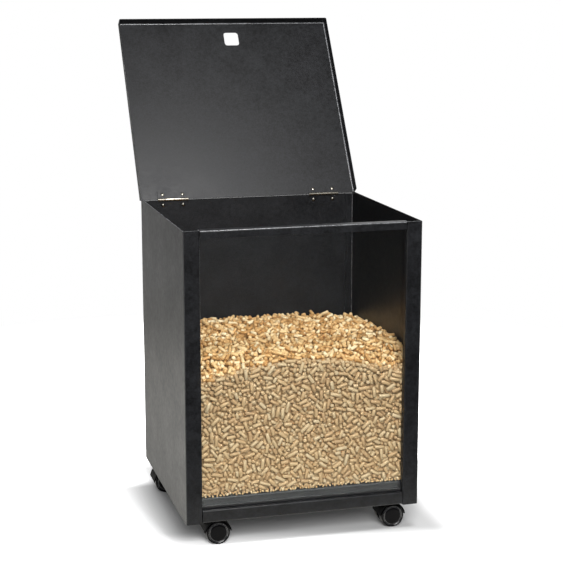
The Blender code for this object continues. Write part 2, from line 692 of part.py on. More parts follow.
def add_bin(root, powder, liner, glass, rubber, wood):
    """Fixed sheets, the window and what the bin holds."""
    for name, side in (("left", -1), ("right", 1)):
        add_piece(f"{name}_side_panel", side_panel_mesh(f"{name}_side_panel", side), root, powder)
        add_piece(f"{name}_pane_retainer", retainer_mesh(f"{name}_pane_retainer", side), root, liner)
        add_piece(f"{name}_caster_rail", caster_rail_mesh(f"{name}_caster_rail", side), root, liner)
    add_piece("back_panel", back_panel_mesh(), root, powder)
    add_piece("floor_panel", floor_mesh(), root, liner)
    add_piece("front_top_rail", top_rail_mesh(), root, powder)
    add_piece("front_bottom_rail", bottom_rail_mesh(), root, powder)
    seal_top = LEDGE_TOP + SEAT_GAP + SEAL_HEIGHT
    pane = block("window_pane", (-HALF_PANE, PANE_FRONT, seal_top + SEAT_GAP),
                 (HALF_PANE, PANE_BACK, RIM - SHEET - PANE_HEADROOM))
    add_piece("window_pane", pane, root, glass)
    seal = block("window_seal", (-HALF_RAIL, PANE_FRONT - SEAL_LIP, LEDGE_TOP + SEAT_GAP),
                 (HALF_RAIL, PANE_BACK, seal_top))
    add_piece("window_seal", seal, root, rubber)
    add_piece("pellet_load", pellet_mesh(), root, wood)


def add_lid(root, powder, steel):
    """Lid, its two hinges and their rivets."""
    swing = add_empty("lid_swing", root, (0.0, HINGE_Y, HINGE_Z), (-LID_OPEN, 0.0, 0.0))
    add_piece("lid_panel", lid_mesh(), swing, powder)
    body_leaf = smooth(end_knuckle_leaf_mesh(), FACETED_DEGREES)
    lid_leaf = smooth(long_knuckle_leaf_mesh(), FACETED_DEGREES)
    half_pin = HINGE_LENGTH / 2 + PIN_PROUD
    pin = smooth(extruded("pin", polygon(PIN_RADIUS, BARREL_SIDES), along_x, -half_pin, half_pin))
    flush_rivet = rivet_mesh(True)
    rivet = rivet_mesh(False)
    leaf_face = BARREL_RADIUS - LEAF_THICKNESS
    # The body leaf is the same flat leaf, hung down on the back panel
    hung = math.pi / 2
    for name, side in (("left", -1), ("right", 1)):
        x = side * HINGE_X
        axis = add_empty(f"{name}_hinge_axis", root, (x, HINGE_Y, HINGE_Z), (hung, 0.0, 0.0))
        add_piece(f"{name}_hinge_body_leaf", body_leaf, axis, steel, (0.0, 0.0, 0.0), (0.0, math.pi, 0.0))
        add_piece(f"{name}_hinge_pin", pin, axis, steel)
        add_piece(f"{name}_hinge_lid_leaf", lid_leaf, swing, steel, (x, 0.0, 0.0))
        for mark, end in (("outer", side), ("inner", -side)):
            along = end * RIVET_X
            add_piece(f"{name}_{mark}_body_rivet", flush_rivet, axis, steel,
                      (along, -RIVET_SETBACK, -leaf_face), (math.pi, 0.0, 0.0))
            add_piece(f"{name}_{mark}_lid_rivet", rivet, swing, steel, (x + along, -RIVET_SETBACK, leaf_face))


def add_casters(root, plastic, steel):
    """Four casters; at rest the front ones trail to the right and the rear ones to the left."""
    stem = stem_mesh()
    nut = nut_mesh()
    housing = housing_mesh()
    axle = axle_mesh()
    wheel = wheel_mesh()
    rows = (("front", CASTER_X, -CASTER_Y, 1), ("rear", REAR_CASTER_X, CASTER_Y, -1))
    for row, x, y, way in rows:
        turn = 0.0 if way > 0 else math.pi
        for name, side in (("left", -1), ("right", 1)):
            corner = f"{row}_{name}_caster"
            swivel = add_empty(f"{corner}_swivel", root, (side * x, y, 0.0), (0.0, 0.0, turn))
            add_piece(f"{corner}_stem", stem, swivel, steel)
            add_piece(f"{corner}_nut", nut, swivel, steel)
            add_piece(f"{corner}_housing", housing, swivel, plastic)
            centre = (CASTER_TRAIL, 0.0, AXLE_HEIGHT)
            add_piece(f"{corner}_axle", axle, swivel, steel, centre, (math.pi / 2, 0.0, 0.0))
            face = wheel_inner_face()
            for mark, toward in (("front", -1), ("rear", 1)):
                place = (CASTER_TRAIL, way * toward * face, AXLE_HEIGHT)
                tilt = (-way * toward * math.pi / 2, 0.0, 0.0)
                add_piece(f"{corner}_{mark}_wheel", wheel, swivel, plastic, place, tilt)


def main():
    """Builds the whole box about the middle of the ground it stands on."""
    clear_scene()
    powder = finish("black_powder_coat", (0.020, 0.020, 0.021), 0.55, 0.0)
    liner = finish("grey_powder_coat", (0.045, 0.047, 0.050), 0.55, 0.0)
    glass = finish("clear_glass", (0.55, 0.60, 0.60), 0.05, 0.0)
    rubber = finish("black_rubber", (0.015, 0.015, 0.015), 0.80, 0.0)
    wood = finish("wood_pellet", (0.52, 0.36, 0.19), 0.75, 0.0)
    steel = finish("zinc_steel", (0.60, 0.58, 0.54), 0.30, 1.0)
    plastic = finish("black_plastic", (0.012, 0.012, 0.013), 0.30, 0.0)
    root = add_empty("pellet_box", None, (0.0, -MIDDLE_Y, 0.0))
    add_bin(root, powder, liner, glass, rubber, wood)
    add_lid(root, powder, steel)
    add_casters(root, plastic, steel)


main()
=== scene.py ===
"""Pellet storage box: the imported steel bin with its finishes, filled with wood pellets, on a white floor.

Metres, +Z up, the window faces -Y and +X is to the viewer's right, as in the CAD frame.
"""

import json
import logging
import math
from collections.abc import Callable, Iterable, Mapping
from dataclasses import dataclass, replace
from enum import Enum
from typing import Any

import bmesh
import bpy
import numpy as np
from mathutils import Matrix, Vector
from mathutils.bvhtree import BVHTree


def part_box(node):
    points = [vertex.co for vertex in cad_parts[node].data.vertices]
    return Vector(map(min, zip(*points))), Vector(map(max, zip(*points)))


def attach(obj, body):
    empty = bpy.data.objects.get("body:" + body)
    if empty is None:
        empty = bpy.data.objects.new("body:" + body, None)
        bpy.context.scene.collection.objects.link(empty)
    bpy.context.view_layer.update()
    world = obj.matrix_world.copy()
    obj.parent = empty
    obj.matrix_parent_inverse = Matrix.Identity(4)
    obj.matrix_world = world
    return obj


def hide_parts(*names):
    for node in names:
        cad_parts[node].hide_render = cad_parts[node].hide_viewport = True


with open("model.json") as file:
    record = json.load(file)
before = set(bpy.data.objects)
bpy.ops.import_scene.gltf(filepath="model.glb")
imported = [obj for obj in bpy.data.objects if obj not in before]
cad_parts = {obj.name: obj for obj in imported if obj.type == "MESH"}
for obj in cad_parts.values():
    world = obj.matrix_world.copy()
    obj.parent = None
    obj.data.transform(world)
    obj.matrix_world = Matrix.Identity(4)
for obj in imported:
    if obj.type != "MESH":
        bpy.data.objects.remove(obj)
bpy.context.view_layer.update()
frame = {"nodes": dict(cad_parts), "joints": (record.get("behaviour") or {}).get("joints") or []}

log = logging.getLogger("pellet_box")

MM = 0.001
SEED = 7
FOLD_MM = 0.25  # rounding between the flats that a fold is made of
WELD = 0.00001  # corners closer than this are one
LEVEL_MM = 0.01  # corners this close in height are level
FLAT_DEGREES = 0.5  # faces that turn less than this are one flat
EDGE_DEGREES = 40.0  # an edge turns at least this much
FOLD_DEGREES = 24.0  # a fold's flats turn at least this much
SMOOTH_DEGREES = 35.0  # a modelled piece is shaded smooth over less than this
SLANTED = 0.5  # least part of a slanted face's unit normal along an axis
FACING = 0.9  # the same, of a face that looks along the axis
FLUSH = 0.99  # the same, of a face that is square to the axis
OVER = 1.0  # a height over the whole box
LEAST = 0.000001  # keeps a division away from zero
WHITE = (1.0, 1.0, 1.0, 1.0)


class Side(Enum):
    """Side of the box that a piece is on, with its sign along X."""

    LEFT = -1
    RIGHT = 1


class Row(Enum):
    """Row that a caster is in, or place of a wheel in its pair, with its sign along Y."""

    FRONT = -1
    REAR = 1


def linear(code: str) -> tuple[float, float, float, float]:
    """Linear colour of an sRGB hex value.

    Args:
        code: six hex digits after a hash sign.

    Returns:
        Red, green, blue and alpha, as a colour socket takes them.
    """
    parts = [int(code[place:place + 2], 16) / 255 for place in (1, 3, 5)]
    red, green, blue = (p / 12.92 if p <= 0.04045 else ((p + 0.055) / 1.055) ** 2.4 for p in parts)
    return red, green, blue, 1.0


def add_node(tree: bpy.types.NodeTree, kind: str, settings: Mapping[str, Any] | None = None,
             links: Mapping[str, bpy.types.NodeSocket] | None = None,
             output: str | None = None) -> bpy.types.NodeSocket | None:
    """Adds a node with its settings and links.

    Args:
        tree: node tree that takes the node.
        kind: the node's type name.
        settings: values by property, or by an input socket's identifier.
        links: output sockets of other nodes, by an input socket's identifier.
        output: identifier of the output that is wanted, or None for the first in use.

    Returns:
        That output, or None at the end of a tree.
    """
    node = tree.nodes.new(kind)
    inputs = {socket.identifier: socket for socket in node.inputs}
    for name, value in (settings or {}).items():
        if name in inputs:
            inputs[name].default_value = value
        else:
            setattr(node, name, value)
    for name, source in (links or {}).items():
        tree.links.new(source, inputs[name])
    wanted = (socket for socket in node.outputs if socket.enabled and output in (None, socket.identifier))
    return next(wanted, None)


def empty_material(name: str) -> tuple[bpy.types.Material, bpy.types.NodeTree]:
    """Makes a material with no nodes yet.

    Args:
        name: its name.

    Returns:
        The material and its node tree.
    """
    material = bpy.data.materials.new(name)
    material.use_nodes = True
    material.node_tree.nodes.clear()
    return material, material.node_tree


def link_object(name: str, data: bpy.types.ID) -> bpy.types.Object:
    """Makes an object and puts it into the scene.

    Args:
        name: its name.
        data: its mesh, lamp or camera.

    Returns:
        The object.
    """
    made = bpy.data.objects.new(name, data)
    bpy.context.scene.collection.objects.link(made)
    return made


@dataclass(frozen=True)
class PowderCoat:
    """Fine-texture polyester powder, baked on steel sheet.

    It melts into a skin with a fine grit, so it scatters a soft sheen and breaks up reflections.
    """

    name: str
    colour: str
    pale: str
    rough_low: float = 0.34
    rough_high: float = 0.47
    specular: float = 0.30
    grit_mm: float = 2.4  # the real grit is 0.3 mm; drawn coarse enough to show
    grit_height_mm: float = 0.02
    mottle_mm: float = 7.0
    cloud_mm: float = 45.0
    cloud_share: float = 0.4  # of the clouds, among the mottle
    blotch_share: float = 0.5  # of the mottle and the clouds, among the grit
    shade_band: tuple[float, float] = (0.38, 0.62)  # of the noise, between the two colours
    rough_band: tuple[float, float] = (0.3, 0.7)  # of the noise, between the two roughnesses

    def material(self) -> bpy.types.Material:
        """Builds the coat's material.

        Returns:
            The material.
        """
        material, tree = empty_material(self.name)
        place = add_node(tree, "ShaderNodeTexCoord", output="Object")
        grit, cloud, mottle = (
            add_node(tree, "ShaderNodeTexNoise", {"Scale": 1 / (size * MM), "Detail": detail},
                     {"Vector": place})
            for size, detail in ((self.grit_mm, 2.0), (self.cloud_mm, 3.0), (self.mottle_mm, 4.0)))
        both = add_node(tree, "ShaderNodeMix", {"Factor_Float": self.cloud_share},
                        {"A_Float": mottle, "B_Float": cloud})
        speck = add_node(tree, "ShaderNodeMix", {"Factor_Float": self.blotch_share},
                         {"A_Float": grit, "B_Float": both})
        shade = add_node(tree, "ShaderNodeMapRange",
                         {"From Min": self.shade_band[0], "From Max": self.shade_band[1]}, {"Value": speck})
        colour = add_node(tree, "ShaderNodeMix",
                          {"data_type": "RGBA", "A_Color": linear(self.colour), "B_Color": linear(self.pale)},
                          {"Factor_Float": shade})
        rough = add_node(tree, "ShaderNodeMapRange",
                         {"From Min": self.rough_band[0], "From Max": self.rough_band[1],
                          "To Min": self.rough_low, "To Max": self.rough_high},
                         {"Value": both})
        bump = add_node(tree, "ShaderNodeBump", {"Strength": 0.5, "Distance": self.grit_height_mm * MM},
                        {"Height": grit})
        shader = add_node(tree, "ShaderNodeBsdfPrincipled", {"Specular IOR Level": self.specular, "IOR": 1.5},
                          {"Base Color": colour, "Roughness": rough, "Normal": bump})
        add_node(tree, "ShaderNodeOutputMaterial", {}, {"Surface": shader})
        return material


@dataclass(frozen=True)
class FloatGlass:
    """Clear float glass: a polished flat pane that mirrors a little and lets the lamps through."""

    name: str
    tint: str = "#fafcfb"
    index: float = 1.4  # refraction, under the usual 1.5 because the photo shows a weak mirror image

    def material(self) -> bpy.types.Material:
        """Builds the pane's material.

        Returns:
            The material.
        """
        material, tree = empty_material(self.name)
        glass = add_node(tree, "ShaderNodeBsdfPrincipled",
                         {"Base Color": linear(self.tint), "Roughness": 0.0, "IOR": self.index,
                          "Transmission Weight": 1.0})
        clear = add_node(tree, "ShaderNodeBsdfTransparent", {"Color": linear(self.tint)})
        shadow = add_node(tree, "ShaderNodeLightPath", output="Is Shadow Ray")
        bounce = add_node(tree, "ShaderNodeLightPath", output="Is Diffuse Ray")
        lamp_or_bounce = add_node(tree, "ShaderNodeMath", {"operation": "MAXIMUM"},
                                  {"Value": shadow, "Value_001": bounce})
        both = add_node(tree, "ShaderNodeMixShader", {},
                        {"Fac": lamp_or_bounce, "Shader": glass, "Shader_001": clear})
        add_node(tree, "ShaderNodeOutputMaterial", {}, {"Surface": both})
        return material


@dataclass(frozen=True)
class ZincPlate:
    """Bright zinc plate on pressed steel: a warm grey metal with a fine drawn grain."""

    name: str
    colour: str = "#aea89c"
    dull: str = "#807c74"
    grain_mm: float = 0.9
    rough_low: float = 0.20
    rough_high: float = 0.34

    def material(self) -> bpy.types.Material:
        """Builds the plate's material.

        Returns:
            The material.
        """
        material, tree = empty_material(self.name)
        place = add_node(tree, "ShaderNodeTexCoord", output="Object")
        grain = add_node(tree, "ShaderNodeTexNoise", {"Scale": 1 / (self.grain_mm * MM), "Detail": 2.0},
                         {"Vector": place})
        colour = add_node(tree, "ShaderNodeMix",
                          {"data_type": "RGBA", "A_Color": linear(self.dull), "B_Color": linear(self.colour)},
                          {"Factor_Float": grain})
        rough = add_node(tree, "ShaderNodeMapRange", {"To Min": self.rough_low, "To Max": self.rough_high},
                         {"Value": grain})
        shader = add_node(tree, "ShaderNodeBsdfPrincipled", {"Metallic": 1.0},
                          {"Base Color": colour, "Roughness": rough})
        add_node(tree, "ShaderNodeOutputMaterial", {}, {"Surface": shader})
        return material


@dataclass(frozen=True)
class Moulding:
    """Injection-moulded polymer: an even black skin with the faint ripple of the mould."""

    name: str
    colour: str
    lighter: str
    roughness: float
    specular: float = 0.5
    ripple_mm: float = 6.0
    ripple_share: float = 0.3  # how far the ripple moves the roughness

    def material(self) -> bpy.types.Material:
        """Builds the moulding's material.

        Returns:
            The material.
        """
        material, tree = empty_material(self.name)
        place = add_node(tree, "ShaderNodeTexCoord", output="Object")
        ripple = add_node(tree, "ShaderNodeTexNoise", {"Scale": 1 / (self.ripple_mm * MM), "Detail": 2.0},
                          {"Vector": place})
        colour = add_node(tree, "ShaderNodeMix",
                          {"data_type": "RGBA", "A_Color": linear(self.colour), "B_Color": linear(self.lighter)},
                          {"Factor_Float": ripple})
        rough = add_node(tree, "ShaderNodeMapRange",
                         {"To Min": self.roughness * (1 - self.ripple_share),
                          "To Max": self.roughness * (1 + self.ripple_share)},
                         {"Value": ripple})
        shader = add_node(tree, "ShaderNodeBsdfPrincipled",
                          {"Specular IOR Level": self.specular, "IOR": 1.53},
                          {"Base Color": colour, "Roughness": rough})
        add_node(tree, "ShaderNodeOutputMaterial", {}, {"Surface": shader})
        return material


@dataclass(frozen=True)
class PressedWood:
    """Sawdust pressed through a die: pale fibres along each pellet, with darker ones among them."""

    name: str
    # darkest shade: the darkest pellets, and the core under the top, where it is painted shade in the gaps
    deep: str = "#7d5e3a"
    dark: str = "#c4935a"
    middle: str = "#e6c08a"
    pale: str = "#f5e0b8"
    shades_at: tuple[float, ...] = (0.0, 0.18, 0.5, 0.85)  # tones of the four shades
    dust_and_glare_film: str = "#a98f70"  # sawdust on the pellets behind the glass, and a painted haze of the glass's glare, which greys them
    dust_and_glare_share: float = 0.7
    fibre_share: float = 0.25  # of the fibres in the tone
    fibre_mm: float = 0.7
    fibre_length_mm: float = 6.0
    fibre_height_mm: float = 0.12

    def material(self) -> bpy.types.Material:
        """Builds the wood's material, from each pellet's own tone and grain.

        Returns:
            The material.
        """
        material, tree = empty_material(self.name)
        tone = add_node(tree, "ShaderNodeAttribute", {"attribute_name": PelletHeap.TONE}, output="Fac")
        grain_map = add_node(tree, "ShaderNodeUVMap", {"uv_map": PelletHeap.GRAIN})
        stretched = add_node(tree, "ShaderNodeMapping",
                             {"Scale": (1 / self.fibre_length_mm, 1 / self.fibre_mm, 1.0)},
                             {"Vector": grain_map})
        fibre = add_node(tree, "ShaderNodeTexNoise", {"Scale": 1.0, "Detail": 3.0},
                         {"Vector": stretched})
        mixed = add_node(tree, "ShaderNodeMix", {"Factor_Float": self.fibre_share},
                         {"A_Float": tone, "B_Float": fibre})
        ramp = add_node(tree, "ShaderNodeValToRGB", {}, {"Fac": mixed})
        stops = ramp.node.color_ramp.elements
        for place in self.shades_at[1:-1]:
            stops.new(place)
        shades = (self.deep, self.dark, self.middle, self.pale)
        for stop, place, code in zip(stops, self.shades_at, shades):
            stop.position = place
            stop.color = linear(code)
        # Greyed by sawdust and by the glass's glare painted on the pellets behind it
        dust = add_node(tree, "ShaderNodeAttribute", {"attribute_name": PelletHeap.DUST}, output="Fac")
        share = add_node(tree, "ShaderNodeMapRange", {"To Max": self.dust_and_glare_share}, {"Value": dust})
        colour = add_node(tree, "ShaderNodeMix", {"data_type": "RGBA", "B_Color": linear(self.dust_and_glare_film)},
                          {"Factor_Float": share, "A_Color": ramp})
        bump = add_node(tree, "ShaderNodeBump", {"Strength": 0.5, "Distance": self.fibre_height_mm * MM},
                        {"Height": fibre})
        shader = add_node(tree, "ShaderNodeBsdfPrincipled",
                          {"Roughness": 0.55, "Specular IOR Level": 0.35, "IOR": 1.5},
                          {"Base Color": colour, "Normal": bump})
        add_node(tree, "ShaderNodeOutputMaterial", {}, {"Surface": shader})
        return material


def dress(node: str, material: bpy.types.Material) -> None:
    """Gives a CAD node its finish.

    Args:
        node: the node's name.
        material: the finish.
    """
    mesh = frame["nodes"][node].data
    mesh.materials.clear()
    mesh.materials.append(material)


def refinish(piece: bpy.types.Object, material: bpy.types.Material,
         lighter: Callable[[bpy.types.MeshPolygon], bool]) -> None:
    """Gives some faces of a dressed piece another finish.

    Args:
        piece: the piece, with its usual finish on it.
        material: the other finish.
        lighter: tells whether a face has it.
    """
    mesh = piece.data
    mesh.materials.append(material)
    for face in mesh.polygons:
        if lighter(face):
            face.material_index = len(mesh.materials) - 1


def soften(node: str, width_mm: float, slot: int = -1) -> None:
    """Rounds a CAD node's sharp edges and its folds, so that they catch the light as real ones do.

    Args:
        node: the node's name.
        width_mm: width of the rounding.
        slot: material slot of the rounding, or -1 for the finish beside it.
    """
    piece = frame["nodes"][node]
    weld = piece.modifiers.new("weld", "WELD")
    weld.merge_threshold = WELD
    flat = piece.modifiers.new("flat", "DECIMATE")
    flat.decimate_type = "DISSOLVE"
    flat.angle_limit = math.radians(FLAT_DEGREES)
    for name, width, segments, angle in (("edge", width_mm, 4, EDGE_DEGREES),
                                         ("fold", FOLD_MM, 2, FOLD_DEGREES)):
        bevel = piece.modifiers.new(name, "BEVEL")
        bevel.width = width * MM
        bevel.segments = segments
        bevel.limit_method = "ANGLE"
        bevel.angle_limit = math.radians(angle)
        bevel.harden_normals = True
        bevel.material = slot
    weighted = piece.modifiers.new("weighted", "WEIGHTED_NORMAL")
    weighted.keep_sharp = True


class Bench:
    """Models one piece by hand: a primitive, then operators in edit mode, then modifiers."""

    def __init__(self, name: str) -> None:
        """Clears the selection and keeps the piece's name."""
        self.name = name
        bpy.ops.object.select_all(action="DESELECT")

    def take(self) -> bpy.types.Object:
        """Names the primitive that was just added and settles its place into its mesh.

        Returns:
            The piece.
        """
        piece = bpy.context.object
        piece.name = self.name
        piece.data.name = self.name
        bpy.ops.object.transform_apply(location=True, rotation=True, scale=True)
        return piece

    def pick_faces(self, wanted: Callable[[bmesh.types.BMFace], bool]) -> None:
        """Selects only some faces, in edit mode.

        Args:
            wanted: tells whether a face is selected.
        """
        mesh = bpy.context.object.data
        bm = bmesh.from_edit_mesh(mesh)
        bpy.ops.mesh.select_all(action="DESELECT")
        for face in bm.faces:
            face.select_set(wanted(face))
        bm.select_flush_mode()
        bmesh.update_edit_mesh(mesh)

    def pick_edges(self, wanted: Callable[[bmesh.types.BMEdge], bool]) -> None:
        """Selects only some edges, in edit mode.

        Args:
            wanted: tells whether an edge is selected.
        """
        mesh = bpy.context.object.data
        bpy.ops.mesh.select_mode(type="EDGE")
        bpy.ops.mesh.select_all(action="DESELECT")
        bm = bmesh.from_edit_mesh(mesh)
        for edge in bm.edges:
            edge.select_set(wanted(edge))
        bmesh.update_edit_mesh(mesh)


@dataclass
class Bin:
    """Folded steel bin: side panels with their posts, back, floor, rails and caster rails."""

    black: bpy.types.Material
    grey: bpy.types.Material
    # Paler, glossier coat on rims and folds: its pale colour paints highlight lines, its gloss adds real ones
    lighter: bpy.types.Material
    edge_mm: float = 0.15

    PANELS = ("left_side_panel", "right_side_panel")
    RAILS = ("front_top_rail", "front_bottom_rail")
    INNER = ("back_panel", "left_pane_retainer", "right_pane_retainer",
             "left_caster_rail", "right_caster_rail")

    @staticmethod
    def worn_panel(face: bpy.types.MeshPolygon) -> bool:
        """Tells whether a side panel's face is its rim or the fold in its rear corner, where a paler coat
        paints highlight lines.
        """
        across, ahead, up = face.normal
        return up > FACING or (face.center.y > 0.0 and min(abs(across), abs(ahead)) > SLANTED)

    @staticmethod
    def worn_rail(face: bpy.types.MeshPolygon) -> bool:
        """Tells whether the top rail's face is on its front fold, where a paler coat paints a highlight line.
        """
        return face.normal.y < 0.0 and SLANTED < face.normal.z < FACING

    def build(self) -> None:
        """Dresses the bin's sheets."""
        for name in (*self.PANELS, *self.RAILS, *self.INNER):
            dress(name, self.black)
        dress("floor_panel", self.grey)
        # The side panels' rims and rear folds and the top rail's front fold get the paler coat: painted
        # highlight lines
        for name in self.PANELS:
            refinish(frame["nodes"][name], self.lighter, self.worn_panel)
        refinish(frame["nodes"]["front_top_rail"], self.lighter, self.worn_rail)
        for name in (*self.PANELS, *self.RAILS, *self.INNER, "floor_panel"):
            soften(name, self.edge_mm)
            log.info("dressed %s", name)


@dataclass
class Window:
    """Glass pane in the front, standing on its rubber strip."""

    glass: bpy.types.Material
    rubber: bpy.types.Material
    edge_mm: float = 0.4

    def build(self) -> None:
        """Dresses the pane and the strip."""
        dress("window_pane", self.glass)
        soften("window_pane", self.edge_mm)
        dress("window_seal", self.rubber)
        soften("window_seal", self.edge_mm)
        log.info("dressed window")


@dataclass
class Lid:
    """Tray-shaped lid with its finger hole."""

    black: bpy.types.Material
    # Paler, glossier coat on the tray's folds: its pale colour paints highlight lines, its gloss adds real
    # ones
    lighter: bpy.types.Material
    edge_mm: float = 0.15
    fold_inward: float = 0.2  # least part of a fold's unit normal along the inside's direction
    fold_most: float = 0.98  # most of it along any one direction of the tray

    @staticmethod
    def inside() -> Vector:
        """Direction that the open lid's inside faces."""
        opened = next(math.radians(j["range_deg"][1]) for j in frame["joints"] if j["name"] == "lid_hinge")
        return Vector((0.0, -math.sin(opened), -math.cos(opened)))

    def build(self) -> None:
        """Dresses the lid."""
        inside = self.inside()
        along = inside.cross(Vector((1.0, 0.0, 0.0)))

        def folded(face: bpy.types.MeshPolygon) -> bool:
            """Tells whether a face is in one of the tray's folds.

            Args:
                face: a face of the lid.

            Returns:
                True in a fold.
            """
            inward = abs(face.normal.dot(inside))
            most = max(inward, abs(face.normal.dot(along)), abs(face.normal.x))
            return inward > self.fold_inward and most < self.fold_most

        dress("lid_panel", self.black)
        # The tray's folds get the paler coat: painted highlight lines
        refinish(frame["nodes"]["lid_panel"], self.lighter, folded)
        soften("lid_panel", self.edge_mm)
        log.info("dressed lid_panel")


@dataclass
class Hinge:
    """Butt hinge at one end of the lid: two leaves, a pin and four rivets."""

    side: Side
    black: bpy.types.Material
    zinc: bpy.types.Material
    # darker copy of the zinc, for the body's rivets: painted shade
    shaded_zinc: bpy.types.Material
    edge_mm: float = 0.45
    barrel_reach: float = 1.05  # of the barrel's radius
    dome_mm: float = 4.8  # radius of a rivet head's curve
    head_mm: float = 1.4
    shank_mm: float = 2.0  # radius
    tail_mm: float = 1.1
    tail_radius_mm: float = 2.9
    sides: int = 24  # of a rivet's head

    CORNER_DIGITS = 5  # decimals that tell a rivet's corners apart

    def bare_barrel(self, leaf: str, axis: Vector, radius: float) -> None:
        """Leaves a leaf's knuckles bare and the rest of it coated like the sheet it is on.

        Args:
            leaf: the leaf's node.
            axis: a point on the pin's axis, which runs along X.
            radius: the barrel's radius.
        """
        def rolled(face: bpy.types.MeshPolygon) -> bool:
            """Tells whether a face is on a knuckle."""
            away = math.hypot(face.center.y - axis.y, face.center.z - axis.z)
            return away < radius * self.barrel_reach

        dress(leaf, self.black)
        refinish(frame["nodes"][leaf], self.zinc, rolled)

    def rivet(self, node: str, body: str, outward: Vector, finish: bpy.types.Material) -> bpy.types.Object:
        """Models a rivet where its node is: a domed head, a shank and a set tail.

        Args:
            node: the rivet's node.
            body: the body that it rides on.
            outward: direction that the head faces.
            finish: its plate.

        Returns:
            The rivet.
        """
        points = [vert.co for vert in frame["nodes"][node].data.vertices]
        reach = [point.dot(outward) for point in points]
        level = max(reach) - LEVEL_MM * MM
        crown = {point.to_tuple(self.CORNER_DIGITS) for point in points if point.dot(outward) > level}
        top = sum((Vector(point) for point in crown), Vector()) / len(crown)
        length = max(reach) - min(reach)
        bench = Bench(f"{node}_domed")
        # Upright at first, with the head's top at the origin
        bpy.ops.mesh.primitive_uv_sphere_add(segments=self.sides, ring_count=self.sides,
                                             radius=self.dome_mm * MM,
                                             location=(0.0, 0.0, -self.dome_mm * MM))
        piece = bench.take()
        bpy.ops.object.mode_set(mode="EDIT")
        bpy.ops.mesh.select_all(action="SELECT")
        bpy.ops.mesh.bisect(plane_co=(0.0, 0.0, -self.head_mm * MM), plane_no=(0.0, 0.0, 1.0),
                            use_fill=True, clear_inner=True)
        bpy.ops.mesh.select_mode(type="FACE")
        bench.pick_faces(lambda face: face.normal.z < -FLUSH)
        head = math.sqrt(2 * self.dome_mm * self.head_mm - self.head_mm ** 2)
        bpy.ops.mesh.inset(thickness=(head - self.shank_mm) * MM)
        drop = length - (self.head_mm + self.tail_mm) * MM
        bpy.ops.mesh.extrude_region_move(TRANSFORM_OT_translate={"value": (0.0, 0.0, -drop)})
        bpy.ops.mesh.extrude_region_move(TRANSFORM_OT_translate={"value": (0.0, 0.0, -self.tail_mm * MM)})
        spread = self.tail_radius_mm / self.shank_mm
        bpy.ops.transform.resize(value=(spread, spread, 1.0))
        bpy.ops.object.mode_set(mode="OBJECT")
        piece.data.transform(Matrix.Translation(top) @ outward.to_track_quat("Z", "Y").to_matrix().to_4x4())
        bpy.ops.object.shade_smooth_by_angle(angle=math.radians(SMOOTH_DEGREES))
        piece.data.materials.append(finish)
        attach(piece, body)
        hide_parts(node)
        return piece

    def build(self) -> None:
        """Dresses the leaves and the pin, and models the rivets."""
        name = self.side.name.lower()
        low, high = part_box(f"{name}_hinge_pin")
        axis = (low + high) / 2
        radius = axis.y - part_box(f"{name}_hinge_body_leaf")[0].y
        for part in ("hinge_body_leaf", "hinge_lid_leaf"):
            self.bare_barrel(f"{name}_{part}", axis, radius)
            soften(f"{name}_{part}", self.edge_mm, slot=0)
        dress(f"{name}_hinge_pin", self.zinc)
        for mark in ("outer", "inner"):
            # The body's rivets take the darker copy of the zinc: painted shade
            self.rivet(f"{name}_{mark}_body_rivet", "cabinet", Vector((0.0, -1.0, 0.0)), self.shaded_zinc)
            self.rivet(f"{name}_{mark}_lid_rivet", "lid", Lid.inside(), self.zinc)
        log.info("dressed %s hinge", name)


